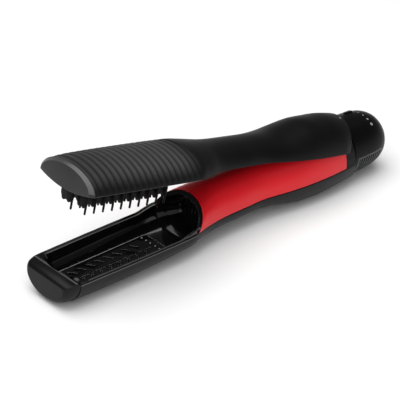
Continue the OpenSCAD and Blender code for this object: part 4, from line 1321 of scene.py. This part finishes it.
def build_screws():
    """Screws of the housing and of the brush base, set on their bosses by one tree."""

    def base_z(x, y):
        """Height of a screw head on the brush base."""
        u = (abs(y) - SCREW["Head"]) / (curve(ARM_HALF, x) - ARM_WALL - 2 * GAP)
        return arm_edge(x) - BASE_CROWN * (1 - u * u) - 0.7

    tree = screw_tree()
    housing = [(x, y, under_at(x, y) + 0.1) for x, y in HOUSING_SPOTS]
    base = [(x, y, base_z(x, y)) for x, y in BASE_SPOTS]
    values = {**SCREW, "Material": finish("steel")}
    for name, spots, body, node, place in (
        ("housing_cross_screws", housing, "handle", "housing_screws", PLACED),
        ("base_cross_screws", base, "arm", "base_screws", OPENED),
    ):
        screws = run_tree(mesh_object(name, spots, []), tree, values)
        settle(screws, body, [node], "steel", place=place)


# Pieces that keep their CAD form, by finish
CARRIED = {
    "dial_black": ("rear_bulkhead",),
    "inner_nylon": ("hinge_block", "sleeve_rings", "motor_mount", "paddle_bosses"),
    "steel": ("hinge_pin", "motor_shaft"),
    "mica": ("heater_sleeve", "heater_cross"),
    "heater_wire": ("heater_coil",),
    "sensor_metal": ("thermostat",),
    "fuse_white": ("thermal_fuse",),
    "motor_can": ("fan_motor",),
    "fan_grey": ("fan_impeller",),
    "board_green": ("control_board",),
    "parts_dark": ("board_parts", "switch_block"),
    "screen_grey": ("dust_screen",),
    "bush_rubber": ("cord_bush",),
    "bracket_zinc": ("arm_bracket",),
    "brush_black": ("brush_base",),
}


def dress_carried():
    for name, nodes in CARRIED.items():
        for node in nodes:
            materials = frame["nodes"][node].data.materials
            materials.clear()
            materials.append(finish(name))


# Stage


def build_floor():
    size = 6.0
    corners = [(-size, -size, 0), (size, -size, 0), (size, size, 0), (-size, size, 0)]
    floor = mesh_object("floor", corners, [(0, 1, 2, 3)])
    pale = {"Base Color": (0.97, 0.97, 0.97, 1), "Roughness": 0.9, "Specular IOR Level": 0.0}
    floor.data.materials.append(surfaced(shader("Pale floor"), pale))


def build_room():
    """A room that is bright at the horizon, dark above it and a little lighter overhead."""
    world = bpy.data.worlds.new("Soft room")
    bpy.context.scene.world = world
    world.use_nodes = True
    tree = world.node_tree
    place = added(tree, "ShaderNodeTexCoord").outputs["Generated"]
    split = added(tree, "ShaderNodeSeparateXYZ", {"Vector": place})
    fade = added(tree, "ShaderNodeValToRGB", {"Fac": split.outputs["Z"]})
    stops = fade.color_ramp.elements
    levels = ((0.0, 1.0), (0.12, 0.5), (0.3, 0.1), (0.7, 0.08), (1.0, 0.3))
    for i, (height, level) in enumerate(levels):
        stop = stops[i] if i < 2 else stops.new(height)
        stop.position = height
        stop.color = (level, level, level, 1)
    tree.links.new(fade.outputs["Color"], tree.nodes["Background"].inputs["Color"])


def build_lamps():
    """Soft boxes that face the brush: name, place, width in metres, power in watts."""
    for name, spot, width, power in (
        ("Key softbox", (-1.5, -0.8, 1.3), 1.6, 14.0),
        ("Fill softbox", (0.0, -1.8, 1.2), 1.6, 6.0),
        ("Top softbox", (-0.2, 0.3, 2.2), 2.6, 54.0),
    ):
        lamp = bpy.data.lights.new(name, "AREA")
        lamp.shape = "SQUARE"
        lamp.size = width
        lamp.energy = power
        obj = bpy.data.objects.new(name, lamp)
        obj.location = spot
        aim = Vector((0, 0, 0.03)) - Vector(spot)
        obj.rotation_euler = aim.to_track_quat("-Z", "Y").to_euler()
        bpy.context.scene.collection.objects.link(obj)


def build_camera():
    """The photo's view, from the front left and 29 degrees above, with a long lens."""
    lens_data = bpy.data.cameras.new("Photo camera")
    lens_data.lens = 135.3
    lens_data.sensor_width = 36
    camera = bpy.data.objects.new("Photo camera", lens_data)
    right = Vector((0.74276, -0.66914, 0.02370))
    up = Vector((0.31243, 0.37768, 0.87163))
    back = Vector((-0.59219, -0.64001, 0.48959))
    turn = Matrix((right, up, back)).transposed().to_4x4()
    camera.matrix_world = Matrix.Translation((-0.629826, -0.65559, 0.52815)) @ turn
    bpy.context.scene.collection.objects.link(camera)
    bpy.context.scene.camera = camera


def build_stage():
    bpy.context.scene.view_settings.view_transform = "Standard"
    build_floor()
    build_room()
    build_lamps()
    build_camera()


# Operators, in the order in which they are called


def operator(label, doc, build):
    """An operator that runs one builder and lets its errors through."""

    def execute(self, context):
        build()
        return {"FINISHED"}

    key = label.lower().replace(" ", "_")
    parts = {"bl_idname": "brush." + key, "bl_label": label, "__doc__": doc, "execute": execute}
    return type("BRUSH_OT_" + key, (bpy.types.Operator,), parts)


PIECES = (
    ("Channel", "Styling channel with its stepped rim", build_channel),
    ("Floor panel", "Slotted floor of the channel", build_floor_panel),
    ("Channel cap", "Leaning cap at the channel's tip", build_channel_cap),
    ("Mouth", "Glossy mouth that lets the hot air out", build_mouth),
    ("Duct cover", "Red cover over the air duct", build_cover),
    ("Lower shell", "Black lower half of the handle", build_lower_shell),
    ("Arm shell", "Ribbed paddle, neck and palm rest", build_arm),
    ("Paddle cap", "Cap at the paddle's tip", build_paddle_cap),
    ("Combs", "Two combs of lobed fins with pins", build_combs),
    ("Dial", "Control dial with its thumb ridge", build_dial),
    ("Grilles", "Two intake grilles with curved slats", build_grilles),
    ("Dial marks", "Printed setting marks on the dial", build_dial_marks),
    ("Index dot", "Printed dot that the dial turns past", build_index_dot),
    ("Screws", "Screws of the housing and the brush base", build_screws),
    ("Opening spring", "Coil spring that holds the brush open", build_spring),
    ("Carried pieces", "Finishes of the pieces that keep their CAD form", dress_carried),
    ("Stage", "Floor, light and camera", build_stage),
)
OPERATORS = [operator(*piece) for piece in PIECES]


class BRUSH_PT_panel(bpy.types.Panel):
    """Lists the settings and the builders."""

    bl_label = "Straightening Brush"
    bl_idname = "BRUSH_PT_panel"
    bl_space_type = "VIEW_3D"
    bl_region_type = "UI"
    bl_category = "Brush"

    def draw(self, context):
        for group in (context.scene.brush_sizes, context.scene.brush_finishes):
            column = self.layout.column()
            for key in group.bl_rna.properties.keys():
                if key not in ("rna_type", "name"):
                    column.prop(group, key)
        for cls in OPERATORS:
            self.layout.operator(cls.bl_idname)


CLASSES = [BrushSizes, BrushFinishes, *OPERATORS, BRUSH_PT_panel]


def register():
    for cls in CLASSES:
        bpy.utils.register_class(cls)
    bpy.types.Scene.brush_sizes = PointerProperty(type=BrushSizes)
    bpy.types.Scene.brush_finishes = PointerProperty(type=BrushFinishes)


def unregister():
    del bpy.types.Scene.brush_finishes
    del bpy.types.Scene.brush_sizes
    for cls in reversed(CLASSES):
        bpy.utils.unregister_class(cls)


def main():
    register()
    for cls in OPERATORS:
        getattr(bpy.ops.brush, cls.bl_idname.split(".")[1])()


if __name__ == "__main__":
    main()
